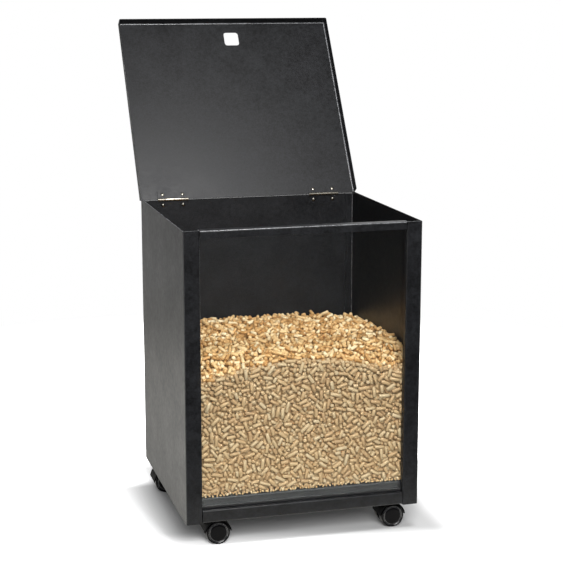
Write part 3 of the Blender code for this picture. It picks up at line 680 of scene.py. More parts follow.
@dataclass
class Caster:
    """Twin-wheel caster with a hood, a turning stem and a nut on top."""

    row: Row
    side: Side
    matt: bpy.types.Material
    gloss: bpy.types.Material
    zinc: bpy.types.Material
    ring: bpy.types.Material
    rim_mm: float = 1.4
    groove_mm: float = 1.8
    groove_depth_mm: float = 0.9
    disc_step_mm: float = 0.5
    disc_rings_mm: tuple[tuple[float, float], ...] = ((3.0, 0.35), (5.0, 0.2))  # inset and rise of each
    shoulder_mm: float = 1.5
    edge_mm: float = 0.25
    hood_edge_mm: float = 0.5
    ring_slopes: tuple[float, float] = (0.1, 0.95)  # of a groove's walls, as their normals' part along Y
    sides: int = 64

    @property
    def corner(self) -> str:
        """The caster's place in its nodes' names."""
        return f"{self.row.name.lower()}_{self.side.name.lower()}"

    def wheel(self, place: Row) -> bpy.types.Object:
        """Models a wheel where its node is: a rounded tread, a rim, a groove and a raised disc.

        Args:
            place: which wheel of the pair.

        Returns:
            The wheel.
        """
        mark = place.name.lower()
        outward = place.value
        node = f"{self.corner}_caster_{mark}_wheel"
        low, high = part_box(node)
        middle = (low + high) / 2
        radius = (high.z - low.z) / 2
        width = high.y - low.y
        bench = Bench(f"{self.corner}_{mark}_moulded_wheel")
        bpy.ops.mesh.primitive_cylinder_add(vertices=self.sides, radius=radius, depth=width,
                                            location=middle, rotation=(math.pi / 2, 0.0, 0.0))
        piece = bench.take()
        bpy.ops.object.mode_set(mode="EDIT")
        bench.pick_edges(lambda edge: sum(face.normal.y * outward > FACING for face in edge.link_faces) == 1)
        bpy.ops.mesh.bevel(offset=self.shoulder_mm * MM, segments=5, affect="EDGES")
        bpy.ops.mesh.select_mode(type="FACE")
        bench.pick_faces(lambda face: face.normal.y * outward > FLUSH)
        step = self.groove_mm / 2
        for thickness, depth in ((self.rim_mm, 0.0), (step, -self.groove_depth_mm), (step, 0.0),
                                 (step, self.disc_step_mm), *self.disc_rings_mm):
            bpy.ops.mesh.inset(thickness=thickness * MM, depth=depth * MM)
        bpy.ops.object.mode_set(mode="OBJECT")
        bpy.ops.object.shade_smooth_by_angle(angle=math.radians(SMOOTH_DEGREES))
        edge = piece.modifiers.new("edge", "BEVEL")
        edge.width = self.edge_mm * MM
        edge.segments = 2
        edge.limit_method = "ANGLE"
        edge.angle_limit = math.radians(SMOOTH_DEGREES)
        bpy.ops.object.modifier_apply(modifier=edge.name)
        outer = radius - (self.shoulder_mm + self.rim_mm) * MM
        inner = outer - 3 * step * MM

        def grooved(face: bpy.types.MeshPolygon) -> bool:
            """Tells whether a face is on one of the groove's two walls."""
            away = math.hypot(face.center.x - middle.x, face.center.z - middle.z)
            return inner < away < outer and self.ring_slopes[0] < abs(face.normal.y) < self.ring_slopes[1]

        piece.data.materials.append(self.gloss)
        # The groove's walls get the paler, glossier ring nylon: its pale colour paints highlight rings, its
        # gloss adds real ones
        refinish(piece, self.ring, grooved)
        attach(piece, f"{self.corner}_{mark}_wheel")
        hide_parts(node)
        return piece

    def build(self) -> None:
        """Dresses the caster and models its wheels."""
        start = f"{self.corner}_caster"
        for part in ("axle", "stem", "nut"):
            dress(f"{start}_{part}", self.zinc)
        dress(f"{start}_housing", self.matt)
        soften(f"{start}_housing", self.hood_edge_mm)
        for place in Row:
            self.wheel(place)
        log.info("built %s", start)


@dataclass
class Bed:
    """Surface that pellets come to rest on, as a grid of heights over two directions."""

    low: np.ndarray
    high: np.ndarray
    height: np.ndarray
    cell: float

    STATIONS = 9
    LANES = 7
    LANE_REACH = 0.95  # of the outer lanes, as a share of the radius

    def cells(self, points: np.ndarray) -> tuple[np.ndarray, np.ndarray]:
        """Finds the cells that places on the bed are in.

        Args:
            points: the places, along the last axis.

        Returns:
            The cells' indices in the two directions.
        """
        index = np.floor((points - self.low) / self.cell).astype(int)
        return (np.clip(index[..., 0], 0, self.height.shape[0] - 1),
                np.clip(index[..., 1], 0, self.height.shape[1] - 1))

    def rest(self, spots: np.ndarray, headings: np.ndarray, lengths: np.ndarray,
             radius: float) -> tuple[np.ndarray, np.ndarray]:
        """Finds how a pellet would lie if it came down at some places.

        Args:
            spots: places of its middle, one row each.
            headings: unit directions of its length on the bed, one row each.
            lengths: its length at each place.
            radius: its radius.

        Returns:
            The height of its axis at its middle, and its slope along its heading, for each place.
        """
        along = np.linspace(-0.5, 0.5, self.STATIONS) * lengths[:, None]
        across = np.linspace(-self.LANE_REACH, self.LANE_REACH, self.LANES) * radius
        sideways = np.stack((-headings[:, 1], headings[:, 0]), axis=1)
        points = (spots[:, None, None, :] + along[:, :, None, None] * headings[:, None, None, :]
                  + across[None, None, :, None] * sideways[:, None, None, :])
        # A round side meets a point off its middle line later than one on it
        touch = self.height[self.cells(points)] + np.sqrt(radius ** 2 - across ** 2)
        ridge = touch.max(axis=2)
        half = self.STATIONS // 2
        before, after = along[:, :half, None], along[:, None, half:]
        slope = (ridge[:, None, half:] - ridge[:, :half, None]) / (after - before)
        level = (ridge[:, :half, None] - slope * before).reshape(len(spots), -1)
        best = level.argmax(axis=1)
        rows = np.arange(len(spots))
        return level[rows, best], slope.reshape(len(spots), -1)[rows, best]

    def patch(self, spot: np.ndarray, reach: float) -> tuple[np.ndarray, np.ndarray, np.ndarray]:
        """Part of the grid around a place.

        Args:
            spot: the place.
            reach: how far the part goes on every side.

        Returns:
            A view of the heights, and each cell's distances from the place.
        """
        first, last = (self.cells(spot + sign * reach) for sign in (-1, 1))
        rows, columns = (np.arange(int(a), int(b) + 1) for a, b in zip(first, last))
        aside = self.low[0] + (rows + 0.5) * self.cell - spot[0]
        ahead = self.low[1] + (columns + 0.5) * self.cell - spot[1]
        view = self.height[rows[0]:rows[-1] + 1, columns[0]:columns[-1] + 1]
        return view, *np.meshgrid(aside, ahead, indexing="ij")

    def lay(self, spot: np.ndarray, heading: np.ndarray, length: float, radius: float,
            level: float, slope: float) -> None:
        """Adds a pellet that lies on the bed to the bed's heights.

        Args:
            spot: place of its middle.
            heading: unit direction of its length on the bed.
            length: its length.
            radius: its radius.
            level: height of its axis at its middle.
            slope: slope of its axis along its heading.
        """
        view, aside, ahead = self.patch(spot, length / 2 + radius)
        along = aside * heading[0] + ahead * heading[1]
        across = ahead * heading[0] - aside * heading[1]
        inside = (np.abs(along) <= length / 2) & (np.abs(across) <= radius)
        top = level + slope * along + np.sqrt(np.clip(radius ** 2 - across ** 2, 0.0, None))
        view[inside] = np.maximum(view[inside], top[inside])

    def stand(self, spot: np.ndarray, radius: float, level: float) -> None:
        """Adds a pellet that stands on end to the bed's heights.

        Args:
            spot: its place.
            radius: its radius.
            level: height of its upper end.
        """
        view, aside, ahead = self.patch(spot, radius)
        inside = np.hypot(aside, ahead) <= radius
        view[inside] = np.maximum(view[inside], level)


@dataclass(frozen=True)
class Pellet:
    """One pellet at rest."""

    middle: np.ndarray
    direction: np.ndarray
    length: float
    radius: float
    dust: float


@dataclass(frozen=True)
class Layer:
    """How pellets are laid on a bed.

    Args:
        count: how many at most.
        tries: places that each one chooses the lowest of.
        brim: how far over the target an axis may lie.
        steepest: largest slope that one may lie at.
        on_end: share that stands on end.
        dust: how much the pellets are greyed, by real sawdust and by the glass's glare painted on them.
        radius: their usual radius.
        lengths: their shortest and longest.
        turn: matrix from the bed's two directions and its height to the room's axes.
        origin: point in the room that the bed's directions and height are measured from.
    """

    count: int
    tries: int
    brim: float
    steepest: float
    on_end: float
    dust: float
    radius: float
    lengths: tuple[float, float]
    turn: np.ndarray
    origin: np.ndarray


@dataclass
class PelletHeap:
    """Load of wood pellets: a layer against the glass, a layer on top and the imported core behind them."""

    wood: bpy.types.Material
    radius_mm: float = 2.9
    radius_spread: float = 0.10
    press: float = 0.09  # how much thicker the pellets at the glass are drawn, as they press on each other
    sides: int = 8
    end_mm: float = 0.6  # worn off a pellet's ends
    lengths: tuple[float, float] = (0.005, 0.020)
    length_bias: tuple[float, float] = (1.4, 2.4)  # shape of the lengths' spread, which favours short ones
    lean: float = 0.25  # spread of the slope of a pellet that stands on end
    crumbs: int = 420
    crumb_mm: float = 1.5  # radius
    crumb_lengths: tuple[float, float] = (0.003, 0.006)
    crumb_level_mm: float = 8.0
    crumb_dust: float = 0.6
    against: int = 1000  # pellets laid at the glass before the bits
    bits: int = 1500
    bit_mm: float = 2.1  # radius
    bit_lengths: tuple[float, float] = (0.003, 0.007)
    bit_depth_mm: float = 4.0
    bit_slope: float = 1.0
    bit_on_end: float = 0.4
    nominal_mm: float = 16.0  # length of the pellet that is modelled
    wall_gap_mm: float = 0.6
    margin_mm: float = 2.0  # from the load's sides, inside which its top is measured
    cell_mm: float = 1.0
    coarse_cells: int = 4  # cells between two places where the load's top is measured
    bed_depth_mm: float = 18.0  # from the load's top down to what its upper pellets come to rest on
    core_depth_mm: float = 11.0
    long_bonus: float = 0.08  # how much height a long pellet may cost over a short one, by length
    survey: int = 40  # pellets laid between two looks for hollows
    hollow_share: float = 0.3  # of the bed, its lowest part
    front: int = 4600
    front_tries: int = 48
    front_depth_mm: float = 20.0
    front_degrees: float = 50.0  # steepest slope
    front_on_end: float = 0.2
    front_tone: tuple[float, float] = (0.48, 0.26)  # middle and spread
    top: int = 2900
    top_tries: int = 16
    top_degrees: float = 45.0
    # lower and wider than at the glass: random tone, and painted shade among the top pellets
    top_tone: tuple[float, float] = (0.35, 0.34)
    brim_mm: float = 1.0
    tone_range: tuple[float, float] = (0.02, 0.98)
    core_gap_shades: tuple[float, float] = (0.5, -0.25)  # behind the glass and elsewhere; they set how dark the gaps between the outer pellets look, painted shade, darkest under the top
    grain_shift: float = 500.0  # span that each pellet's grain is taken from
    sharp_degrees: float = 50.0
    share: int = 1600  # pellets in one mesh

    TONE = "tone"
    DUST = "dust"
    GRAIN = "grain"

    def __post_init__(self) -> None:
        """Reads the space that the load has, from its own node and its neighbours."""
        self.rng = np.random.default_rng(SEED)
        gap = self.wall_gap_mm * MM
        low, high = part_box("pellet_load")
        post_low, post_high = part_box("right_pane_retainer")
        self.floor = low.z
        self.half_window = post_low.x - gap
        self.post_rear = post_high.y + gap
        self.low = np.array((low.x + gap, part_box("window_pane")[1].y + gap))
        self.high = np.array((high.x - gap, high.y - gap))
        self.pellets: list[Pellet] = []

    def surface(self) -> np.ndarray:
        """Measures the load's top.

        Returns:
            Its height at each cell of a grid over the bin's floor.
        """
        mesh = frame["nodes"]["pellet_load"].data
        corners = [vertex.co.copy() for vertex in mesh.vertices]
        tree = BVHTree.FromPolygons(corners, [tuple(face.vertices) for face in mesh.polygons])
        cell = self.cell_mm * MM
        coarse = cell * self.coarse_cells
        margin = self.margin_mm * MM
        counts = np.ceil((self.high - self.low) / coarse).astype(int)
        rough = np.zeros(counts)
        for i, j in np.ndindex(*counts):
            x, y = self.low + (np.array((i, j)) + 0.5) * coarse
            front = self.low[1] if abs(x) < self.half_window - margin else self.post_rear
            x = min(max(x, self.low[0] + margin), self.high[0] - margin)
            y = min(max(y, front + margin), self.high[1] - margin)
            rough[i, j] = tree.ray_cast(Vector((x, y, OVER)), Vector((0.0, 0.0, -1.0)))[0].z
        fine = np.ceil((self.high - self.low) / cell).astype(int)
        rows, columns = ((np.arange(n) + 0.5) / self.coarse_cells - 0.5 for n in fine)
        across = np.array([np.interp(rows, np.arange(counts[0]), line) for line in rough.T]).T
        return np.array([np.interp(columns, np.arange(counts[1]), line) for line in across])

    def lay(self, bed: Bed, layer: Layer, target: np.ndarray, limit: np.ndarray | None = None) -> None:
        """Lays pellets on a bed one after another, each in the lowest of a few places.

        Args:
            bed: the surface that they come down on.
            layer: how they are laid.
            target: height that each cell of the bed should reach.
            limit: how far along the second direction they may reach, for each cell of the first, or None.
        """
        short, long = layer.lengths
        for number in range(layer.count):
            if number % self.survey == 0:
                depth = bed.height - target
                hollows = np.argwhere(depth <= np.quantile(depth, self.hollow_share))
            lengths = short + (long - short) * self.rng.beta(*self.length_bias, layer.tries)
            radius = layer.radius * self.rng.uniform(1 - self.radius_spread, 1 + self.radius_spread)
            on_end = self.rng.random() < layer.on_end
            spread = np.full(layer.tries, 2 * radius) if on_end else lengths
            angles = self.rng.uniform(0.0, math.pi, layer.tries)
            headings = np.stack((np.cos(angles), np.sin(angles)), axis=1)
            room = np.abs(headings) * spread[:, None] / 2 + np.abs(headings[:, ::-1]) * radius
            hollow = self.rng.choice(hollows, layer.tries)
            spots = bed.low + (hollow + self.rng.random((layer.tries, 2))) * bed.cell
            spots = np.clip(spots, bed.low + room, bed.high - room)
            levels, slopes = bed.rest(spots, headings, spread, radius)
            cells = bed.cells(spots)
            over = levels - target[cells]
            barred = (np.abs(slopes) > layer.steepest) | (over > layer.brim)
            if limit is not None:
                barred |= spots[:, 1] + room[:, 1] > limit[cells[0]]
            best = int(np.where(barred, math.inf, over - self.long_bonus * lengths).argmin())
            if barred[best]:
                continue
            length = lengths[best]
            spot, heading, level, slope = spots[best], headings[best], levels[best], slopes[best]
            if on_end:
                lean = self.rng.normal(0.0, self.lean, 2)
                way = np.array((lean[0], lean[1], 1.0))
                level += length / 2 - radius
                bed.stand(spot, radius, level + length / 2)
            else:
                way = np.array((heading[0], heading[1], slope))
                bed.lay(spot, heading, length, radius, level, slope)
            middle = layer.origin + layer.turn @ np.array((spot[0], spot[1], level))
            way = layer.turn @ (way / np.linalg.norm(way))
            self.pellets.append(Pellet(middle, way, length, radius, layer.dust))

    def fill_front(self, heights: np.ndarray) -> None:
        """Lays the pellets that show through the glass, against it.

        Args:
            heights: height of the load's top over the grid.
        """
        cell = self.cell_mm * MM
        across = self.low[0] + (np.arange(heights.shape[0]) + 0.5) * cell
        low = np.array((-self.half_window, self.floor))
        high = np.array((self.half_window, float(heights[:, 0].max())))
        counts = np.ceil((high - low) / cell).astype(int)
        limit = np.interp(low[0] + (np.arange(counts[0]) + 0.5) * cell, across, heights[:, 0])
        turn = np.array(((1.0, 0.0, 0.0), (0.0, 0.0, 1.0), (0.0, 1.0, 0.0)))
        origin = np.array((0.0, self.low[1], 0.0))
        bed, target = Bed(low, high, np.zeros(counts), cell), np.zeros(counts)
        whole = Layer(count=self.against, tries=self.front_tries, brim=self.front_depth_mm * MM,
                      steepest=math.tan(math.radians(self.front_degrees)), on_end=self.front_on_end, dust=1.0,
                      radius=self.radius_mm * MM, lengths=self.lengths, turn=turn, origin=origin)
        bits = replace(whole, count=self.bits, brim=self.bit_depth_mm * MM, steepest=self.bit_slope,
                       on_end=self.bit_on_end, radius=self.bit_mm * MM, lengths=self.bit_lengths)
        crumbs = replace(whole, count=self.crumbs, brim=2 * self.crumb_mm * MM, steepest=self.bit_slope,
                         dust=self.crumb_dust, radius=self.crumb_mm * MM, lengths=self.crumb_lengths)
        self.lay(bed, crumbs, target, np.full(counts[0], self.floor + self.crumb_level_mm * MM))
        for layer in (whole, bits, replace(whole, count=self.front - self.against)):
            self.lay(bed, layer, target, limit)

    def fill_top(self, heights: np.ndarray) -> None:
        """Lays the pellets of the heap's top on the ones below.

        Args:
            heights: height of the load's top over the grid.
        """
        cell = self.cell_mm * MM
        bed = Bed(self.low, self.high, heights - self.bed_depth_mm * MM, cell)
        across, ahead = (self.low[axis] + (np.arange(heights.shape[axis]) + 0.5) * cell for axis in (0, 1))
        bed.height[(np.abs(across)[:, None] > self.half_window) & (ahead[None, :] < self.post_rear)] = OVER
        for pellet in self.pellets:
            flat = math.hypot(pellet.direction[0], pellet.direction[1])
            heading = pellet.direction[:2] / max(flat, LEAST)
            slope = float(np.clip(pellet.direction[2] / max(flat, LEAST), -1.0, 1.0))
            bed.lay(pellet.middle[:2], heading, pellet.length * flat, pellet.radius, pellet.middle[2], slope)
        layer = Layer(count=self.top, tries=self.top_tries, brim=self.brim_mm * MM,
                      steepest=math.tan(math.radians(self.top_degrees)), on_end=0.0, dust=0.0,
                      radius=self.radius_mm * MM, lengths=self.lengths,
                      turn=np.identity(3), origin=np.zeros(3))
        self.lay(bed, layer, heights)

    def model(self) -> bpy.types.Object:
        """Models one pellet along X: a round stick with worn ends.

        Returns:
            The pellet, to be copied.
        """
        bench = Bench("pellet")
        bpy.ops.mesh.primitive_cylinder_add(vertices=self.sides, radius=self.radius_mm * MM,
                                            depth=self.nominal_mm * MM, rotation=(0.0, math.pi / 2, 0.0))
        piece = bench.take()
        bpy.ops.object.mode_set(mode="EDIT")
        bench.pick_edges(lambda edge: any(abs(face.normal.x) > FACING for face in edge.link_faces))
        bpy.ops.mesh.bevel(offset=self.end_mm * MM, segments=1, affect="EDGES")
        bpy.ops.object.mode_set(mode="OBJECT")
        bpy.ops.object.shade_smooth()
        return piece

    def merge(self, name: str, pellets: list[Pellet], model: bpy.types.Object) -> bpy.types.Object:
        """Copies the modelled pellet to every place into one mesh, each with its own tone and grain.

        Args:
            name: the new piece's name.
            pellets: the pellets at rest.
            model: the pellet that was modelled.

        Returns:
            The new piece.
        """
        base = np.array([v.co for v in model.data.vertices])
        faces = [np.array(p.vertices) for p in model.data.polygons]
        around = np.arctan2(base[:, 2], base[:, 1]) * self.radius_mm
        count, points = len(pellets), len(base)
        places = np.zeros((count, points, 3))
        grain = np.zeros((count, points, 2))
        dust = np.array([pellet.dust for pellet in pellets])
        middle, spread = np.where(dust[:, None] > 0, self.front_tone, self.top_tone).T
        tones = np.clip(self.rng.normal(middle, spread), *self.tone_range)
        for index, pellet in enumerate(pellets):
            roll = Matrix.Rotation(self.rng.uniform(0.0, 2 * math.pi), 3, "X")
            turn = np.array(Vector(pellet.direction).to_track_quat("X", "Z").to_matrix() @ roll)
            girth = pellet.radius * (1 + self.press * pellet.dust) / (self.radius_mm * MM)
            shape = base * (1.0, girth, girth)
            shape[:, 0] += np.sign(base[:, 0]) * (pellet.length - self.nominal_mm * MM) / 2
            places[index] = shape @ turn.T + pellet.middle
            grain[index, :, 0] = shape[:, 0] / MM
            grain[index, :, 1] = around
            grain[index] += self.rng.uniform(0.0, self.grain_shift, 2)
        mesh = bpy.data.meshes.new(name)
        outlines = [face + index * points for index in range(count) for face in faces]
        mesh.from_pydata(places.reshape(-1, 3), [], outlines)
        mesh.shade_smooth()
        mesh.set_sharp_from_angle(angle=math.radians(self.sharp_degrees))
        order = np.zeros(len(mesh.loops), dtype=int)
        mesh.loops.foreach_get("vertex_index", order)
        mesh.uv_layers.new(name=self.GRAIN).uv.foreach_set("vector", grain.reshape(-1, 2)[order].ravel())
        for label, values in ((self.TONE, tones), (self.DUST, dust)):
            mesh.attributes.new(label, "FLOAT", "POINT").data.foreach_set("value", np.repeat(values, points))
        return link_object(name, mesh)

    def core(self) -> bpy.types.Object:
        """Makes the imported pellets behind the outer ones, from the load's own mesh drawn in on every side.

        Returns:
            The core.
        """
        Bench("pellet_core")
        piece = link_object("pellet_core", frame["nodes"]["pellet_load"].data.copy())
        bpy.context.view_layer.objects.active = piece
        piece.select_set(True)
        bpy.ops.object.mode_set(mode="EDIT")
        bpy.ops.mesh.select_all(action="SELECT")
        bpy.ops.mesh.remove_doubles(threshold=WELD)
        bpy.ops.mesh.customdata_custom_splitnormals_clear()
        bpy.ops.transform.shrink_fatten(value=-self.core_depth_mm * MM)
        bpy.ops.object.mode_set(mode="OBJECT")
        mesh = piece.data
        reach = self.low[1] + 2 * self.core_depth_mm * MM
        front = np.array([vertex.co.y < reach for vertex in mesh.vertices])
        # The core shows in the gaps: darkest under the top, painted shade there, and a middle tone behind the
        # glass
        tones = np.where(front, *self.core_gap_shades)
        for label, values in ((self.TONE, tones), (self.DUST, front.astype(float))):
            mesh.attributes.new(label, "FLOAT", "POINT").data.foreach_set("value", values)
        mesh.uv_layers.new(name=self.GRAIN)
        return piece

    def build(self) -> None:
        """Lays the pellets, and makes them and the core stand for the load's node."""
        heights = self.surface()
        self.fill_front(heights)
        log.info("laid %d pellets against the glass", len(self.pellets))
        self.fill_top(heights)
        log.info("laid %d pellets in all", len(self.pellets))
        model = self.model()
        pieces = [self.core()]
        for number, start in enumerate(range(0, len(self.pellets), self.share), start=1):
            pieces.append(self.merge(f"pellets_{number}", self.pellets[start:start + self.share], model))
        bpy.data.objects.remove(model)
        for piece in pieces:
            piece.data.materials.clear()
            piece.data.materials.append(self.wood)
            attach(piece, "cabinet")
            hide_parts("pellet_load")
            log.info("made %s with %d faces", piece.name, len(piece.data.polygons))


@dataclass(frozen=True)
class SoftBox:
    """Evenly lit rectangle that faces the object."""

    name: str
    place: tuple[float, float, float]
    aim: tuple[float, float, float]
    size: tuple[float, float]
    level: float  # brightness of its face

    WATTS = math.pi ** 2  # of a square metre at a level of 1

    def add(self) -> None:
        """Adds the lamp."""
        data = bpy.data.lights.new(self.name, "AREA")
        data.shape = "RECTANGLE"
        data.size, data.size_y = self.size
        data.energy = self.WATTS * self.size[0] * self.size[1] * self.level
        lamp = link_object(self.name, data)
        lamp.visible_camera = False
        lamp.location = self.place
        lamp.rotation_euler = (Vector(self.aim) - Vector(self.place)).to_track_quat("-Z", "Y").to_euler()


@dataclass(frozen=True)
class WhitePaper:
    """Roll of matt white paper, which burns out to the camera outside a shadow painted round the box's foot.

    To the camera its real shadow is painted darker in a slanted rectangle round the box's foot, and brighter
    behind the box.
    The box mirrors, and is lit by, the paper painted dark in front of it, brighter than white near it and
    darker far behind it.
    """

    name: str
    dim: str = "#3f3f3f"
    lit: str = "#fffdf6"
    lit_reach: tuple[float, float] = (-0.62, -0.32)  # along Y, from paper painted dim in front of the box to the lit paper
    # paper painted brighter than white near the box, for what the box mirrors
    near: float = 1.2
    far: float = 0.4  # painted darker well behind the box, where the left wall's top mirrors it
    far_reach: tuple[float, float] = (0.6, 1.75)  # along Y
    stand_middle: tuple[float, float] = (0.0205, -0.051)  # of the painted shadow that the box stands in
    stand_half: tuple[float, float] = (0.206, 0.172)
    stand_slant: float = 0.2  # of its front, along X
    stand_edge: float = 0.08
    shadow_gain_inside: float = 0.6  # gain inside the painted shadow
    bare: float = 1.5  # outside it
    rear_reach: tuple[float, float] = (0.055, 0.105)  # along Y, where the paper is painted brighter behind the box, washing out its real shadow there
    rear_gain: float = 3.0
    blank_reach: tuple[float, float] = (0.9, 1.5)  # from the box, out to where only plain white shows

    def material(self) -> bpy.types.Material:
        """Builds the paper's material.

        Returns:
            The material.
        """
        material, tree = empty_material(self.name)
        smooth = {"interpolation_type": "SMOOTHSTEP"}
        place = add_node(tree, "ShaderNodeTexCoord", output="Object")
        aside, ahead = (add_node(tree, "ShaderNodeSeparateXYZ", {}, {"Vector": place}, output=axis)
                        for axis in ("X", "Y"))
        seen = add_node(tree, "ShaderNodeLightPath", output="Is Camera Ray")

        # What the box mirrors and is lit by: the paper painted dim in front of the box and darker far behind
        # it, a painted reflection
        lit = add_node(tree, "ShaderNodeMapRange",
                       {**smooth, "From Min": self.lit_reach[0], "From Max": self.lit_reach[1]},
                       {"Value": ahead})
        pale = add_node(tree, "ShaderNodeMix",
                        {"data_type": "RGBA", "A_Color": linear(self.dim), "B_Color": linear(self.lit)},
                        {"Factor_Float": lit})
        deep = add_node(tree, "ShaderNodeMapRange",
                        {**smooth, "From Min": self.far_reach[0], "From Max": self.far_reach[1],
                         "To Min": self.near, "To Max": self.far},
                        {"Value": ahead})
        mirrored = add_node(tree, "ShaderNodeVectorMath", {"operation": "SCALE"},
                            {"Vector": pale, "Scale": deep})

        # What the camera sees: the real shadow, painted darker inside a slanted rectangle round the box's
        # foot and brighter behind the box
        level = add_node(tree, "ShaderNodeMath", {"operation": "MULTIPLY_ADD", "Value_001": self.stand_slant},
                         {"Value": aside, "Value_002": ahead})
        slanted = add_node(tree, "ShaderNodeCombineXYZ", {}, {"X": aside, "Y": level})
        offset = add_node(tree, "ShaderNodeVectorMath",
                          {"operation": "SUBTRACT", "Vector_001": (*self.stand_middle, 0.0)},
                          {"Vector": slanted})
        span = add_node(tree, "ShaderNodeVectorMath", {"operation": "ABSOLUTE"}, {"Vector": offset})
        past = add_node(tree, "ShaderNodeVectorMath",
                        {"operation": "SUBTRACT", "Vector_001": (*self.stand_half, 0.0)},
                        {"Vector": span})
        outside = add_node(tree, "ShaderNodeVectorMath", {"operation": "MAXIMUM"}, {"Vector": past})
        away = add_node(tree, "ShaderNodeVectorMath", {"operation": "LENGTH"}, {"Vector": outside},
                        output="Value")
        # Painted shadow: darker inside the slanted rectangle, brighter outside it
        painted_shadow_gain = add_node(tree, "ShaderNodeMapRange",
                           {**smooth, "From Max": self.stand_edge, "To Min": self.shadow_gain_inside, "To Max": self.bare},
                           {"Value": away})
        # Painted light: the paper behind the box is painted up to three times brighter, washing out its real
        # shadow there
        rear = add_node(tree, "ShaderNodeMapRange",
                        {**smooth, "From Min": self.rear_reach[0], "From Max": self.rear_reach[1],
                         "To Min": 1.0, "To Max": self.rear_gain},
                        {"Value": ahead})
        shown = add_node(tree, "ShaderNodeMath", {"operation": "MULTIPLY"},
                         {"Value": painted_shadow_gain, "Value_001": rear})
        colour = add_node(tree, "ShaderNodeMix", {"data_type": "RGBA"},
                          {"Factor_Float": seen, "A_Color": mirrored, "B_Color": shown})
        paper = add_node(tree, "ShaderNodeBsdfDiffuse", {}, {"Color": colour})

        # Plain white far from the box
        distance = add_node(tree, "ShaderNodeVectorMath", {"operation": "LENGTH"}, {"Vector": place},
                            output="Value")
        blank = add_node(tree, "ShaderNodeMapRange",
                         {**smooth, "From Min": self.blank_reach[0], "From Max": self.blank_reach[1]},
                         {"Value": distance})
        share = add_node(tree, "ShaderNodeMath", {"operation": "MULTIPLY"},
                         {"Value": blank, "Value_001": seen})
        white = add_node(tree, "ShaderNodeEmission", {"Color": WHITE, "Strength": 1.0})
        both = add_node(tree, "ShaderNodeMixShader", {}, {"Fac": share, "Shader": paper, "Shader_001": white})
        add_node(tree, "ShaderNodeOutputMaterial", {}, {"Surface": both})
        return material


@dataclass
class Studio:
    """White paper floor, soft lamps and the camera where the photograph was taken from."""

    paper: bpy.types.Material
    lens_mm: float = 95.1
    eye: tuple[float, float, float] = (-0.6608, -2.5410, 0.9189)
    tilt_degrees: float = 78.57
    pan_degrees: float = -15.39
    view_reach: float = 1000.0
    floor_size: float = 400.0
    room: float = 0.22  # light from all round, as a share of white
    lamps: tuple[SoftBox, ...] = (
        SoftBox("backdrop", (0.0, 3.2, 2.2), (0.0, 0.0, 1.2), (6.0, 2.6), 0.34),
        SoftBox("front", (-0.35, -2.9, 1.8), (0.0, -0.2, 0.35), (1.6, 1.2), 5.4),
        SoftBox("overhead", (0.1, -1.02, 1.85), (0.0, -0.1, 0.5), (0.42, 0.36), 12.6),
        # Low panels, for the sides and the back
        SoftBox("left_reflector", (-1.5, -0.1, 0.14), (0.0, -0.1, 0.14), (1.2, 0.28), 2.2),
        SoftBox("right_reflector", (1.5, -0.1, 0.14), (0.0, -0.1, 0.14), (1.2, 0.28), 2.2),
        SoftBox("rear_reflector", (0.0, 1.7, 0.35), (0.0, 0.0, 0.35), (0.7, 0.7), 1.2),
    )

    def camera(self) -> None:
        """Adds the camera."""
        data = bpy.data.cameras.new("camera")
        data.lens = self.lens_mm
        data.clip_end = self.view_reach
        camera = link_object("camera", data)
        camera.location = self.eye
        camera.rotation_euler = (math.radians(self.tilt_degrees), 0.0, math.radians(self.pan_degrees))
        bpy.context.scene.camera = camera

    def floor(self) -> None:
        """Lays the paper."""
        bench = Bench("floor")
        bpy.ops.mesh.primitive_plane_add(size=self.floor_size)
        piece = bench.take()
        piece.data.materials.append(self.paper)

    def world(self) -> None:
        """Adds the dim light from all round, behind a background that is white to the camera."""
        world = bpy.data.worlds.new("white_room")
        world.use_nodes = True
        tree = world.node_tree
        tree.nodes.clear()
        camera = add_node(tree, "ShaderNodeLightPath", output="Is Camera Ray")
        through = add_node(tree, "ShaderNodeLightPath", output="Is Transmission Ray")
        seen = add_node(tree, "ShaderNodeMath", {"operation": "MAXIMUM"},
                        {"Value": camera, "Value_001": through})
        dim, white = (add_node(tree, "ShaderNodeBackground", {"Color": WHITE, "Strength": strength})
                      for strength in (self.room, 1.0))
        both = add_node(tree, "ShaderNodeMixShader", {}, {"Fac": seen, "Shader": dim, "Shader_001": white})
        add_node(tree, "ShaderNodeOutputWorld", {}, {"Surface": both})
        bpy.context.scene.world = world

    def build(self) -> None:
        """Sets up the camera, the floor and the light."""
        bpy.context.scene.view_settings.view_transform = "Standard"
        self.camera()
        self.floor()
        self.world()
        for lamp in self.lamps:
            lamp.add()
        log.info("studio set")


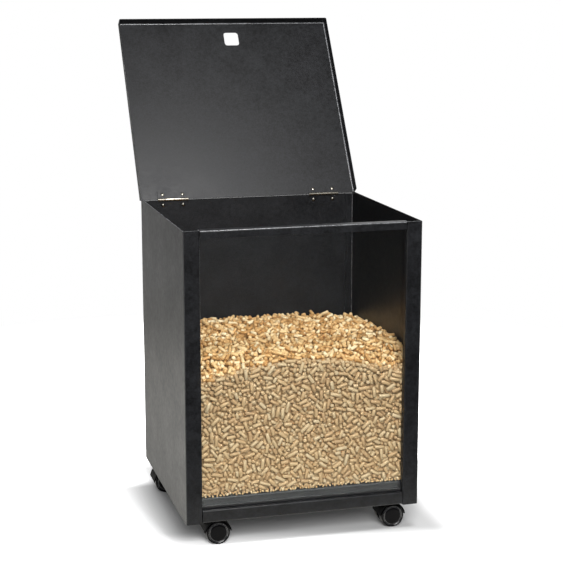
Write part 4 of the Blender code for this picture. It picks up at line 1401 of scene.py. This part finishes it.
def casters(finishes: Mapping[str, bpy.types.Material]) -> Iterable[Caster]:
    """Goes through the four casters.

    Args:
        finishes: the finishes by name.

    Returns:
        One caster after another.
    """
    for row in Row:
        for side in Side:
            yield Caster(row, side, finishes["hood"], finishes["wheel"], finishes["zinc"], finishes["ring"])


def main() -> None:
    """Builds the box's sub-assemblies in order."""
    logging.basicConfig(level=logging.INFO, format="%(name)s: %(message)s")
    Studio(WhitePaper("white_paper").material()).build()
    finishes = {
        "black": PowderCoat("black_powder_coated_steel", "#010102", "#18191c").material(),
        # Paler, glossier coat for chosen rims and folds: painted highlight lines, with some real gloss
        "lighter": PowderCoat("painted_highlight_edges", "#3e3f42", "#939497",
                           rough_low=0.22, rough_high=0.36, specular=0.65).material(),
        "grey": PowderCoat("grey_powder_coated_steel", "#1e1f21", "#292a2c").material(),
        "glass": FloatGlass("clear_float_glass").material(),
        "rubber": Moulding("black_rubber_strip", "#0c0c0c", "#161616", roughness=0.7).material(),
        "hood": Moulding("black_textured_nylon", "#020203", "#060607",
                         roughness=0.55, specular=0.06).material(),
        "wheel": Moulding("black_polished_nylon", "#020203", "#050507",
                          roughness=0.16, specular=0.08).material(),
        # Paler, glossier nylon for the wheels' groove walls: painted highlight rings, with some real gloss
        "ring": Moulding("worn_nylon_rings", "#17181b", "#26272b",
                         roughness=0.2, specular=0.9).material(),
        "zinc": ZincPlate("zinc_plated_steel").material(),
        # Darker copy of the zinc, for the body's rivets: painted shade
        "shaded_zinc": ZincPlate("aged_zinc_plate", "#75726b", "#4c4a46").material(),
        "wood": PressedWood("pressed_wood_pellets").material(),
    }
    Bin(finishes["black"], finishes["grey"], finishes["lighter"]).build()
    Window(finishes["glass"], finishes["rubber"]).build()
    Lid(finishes["black"], finishes["lighter"]).build()
    for side in Side:
        Hinge(side, finishes["black"], finishes["zinc"], finishes["shaded_zinc"]).build()
    for caster in casters(finishes):
        caster.build()
    PelletHeap(finishes["wood"]).build()


if __name__ == "__main__":
    main()
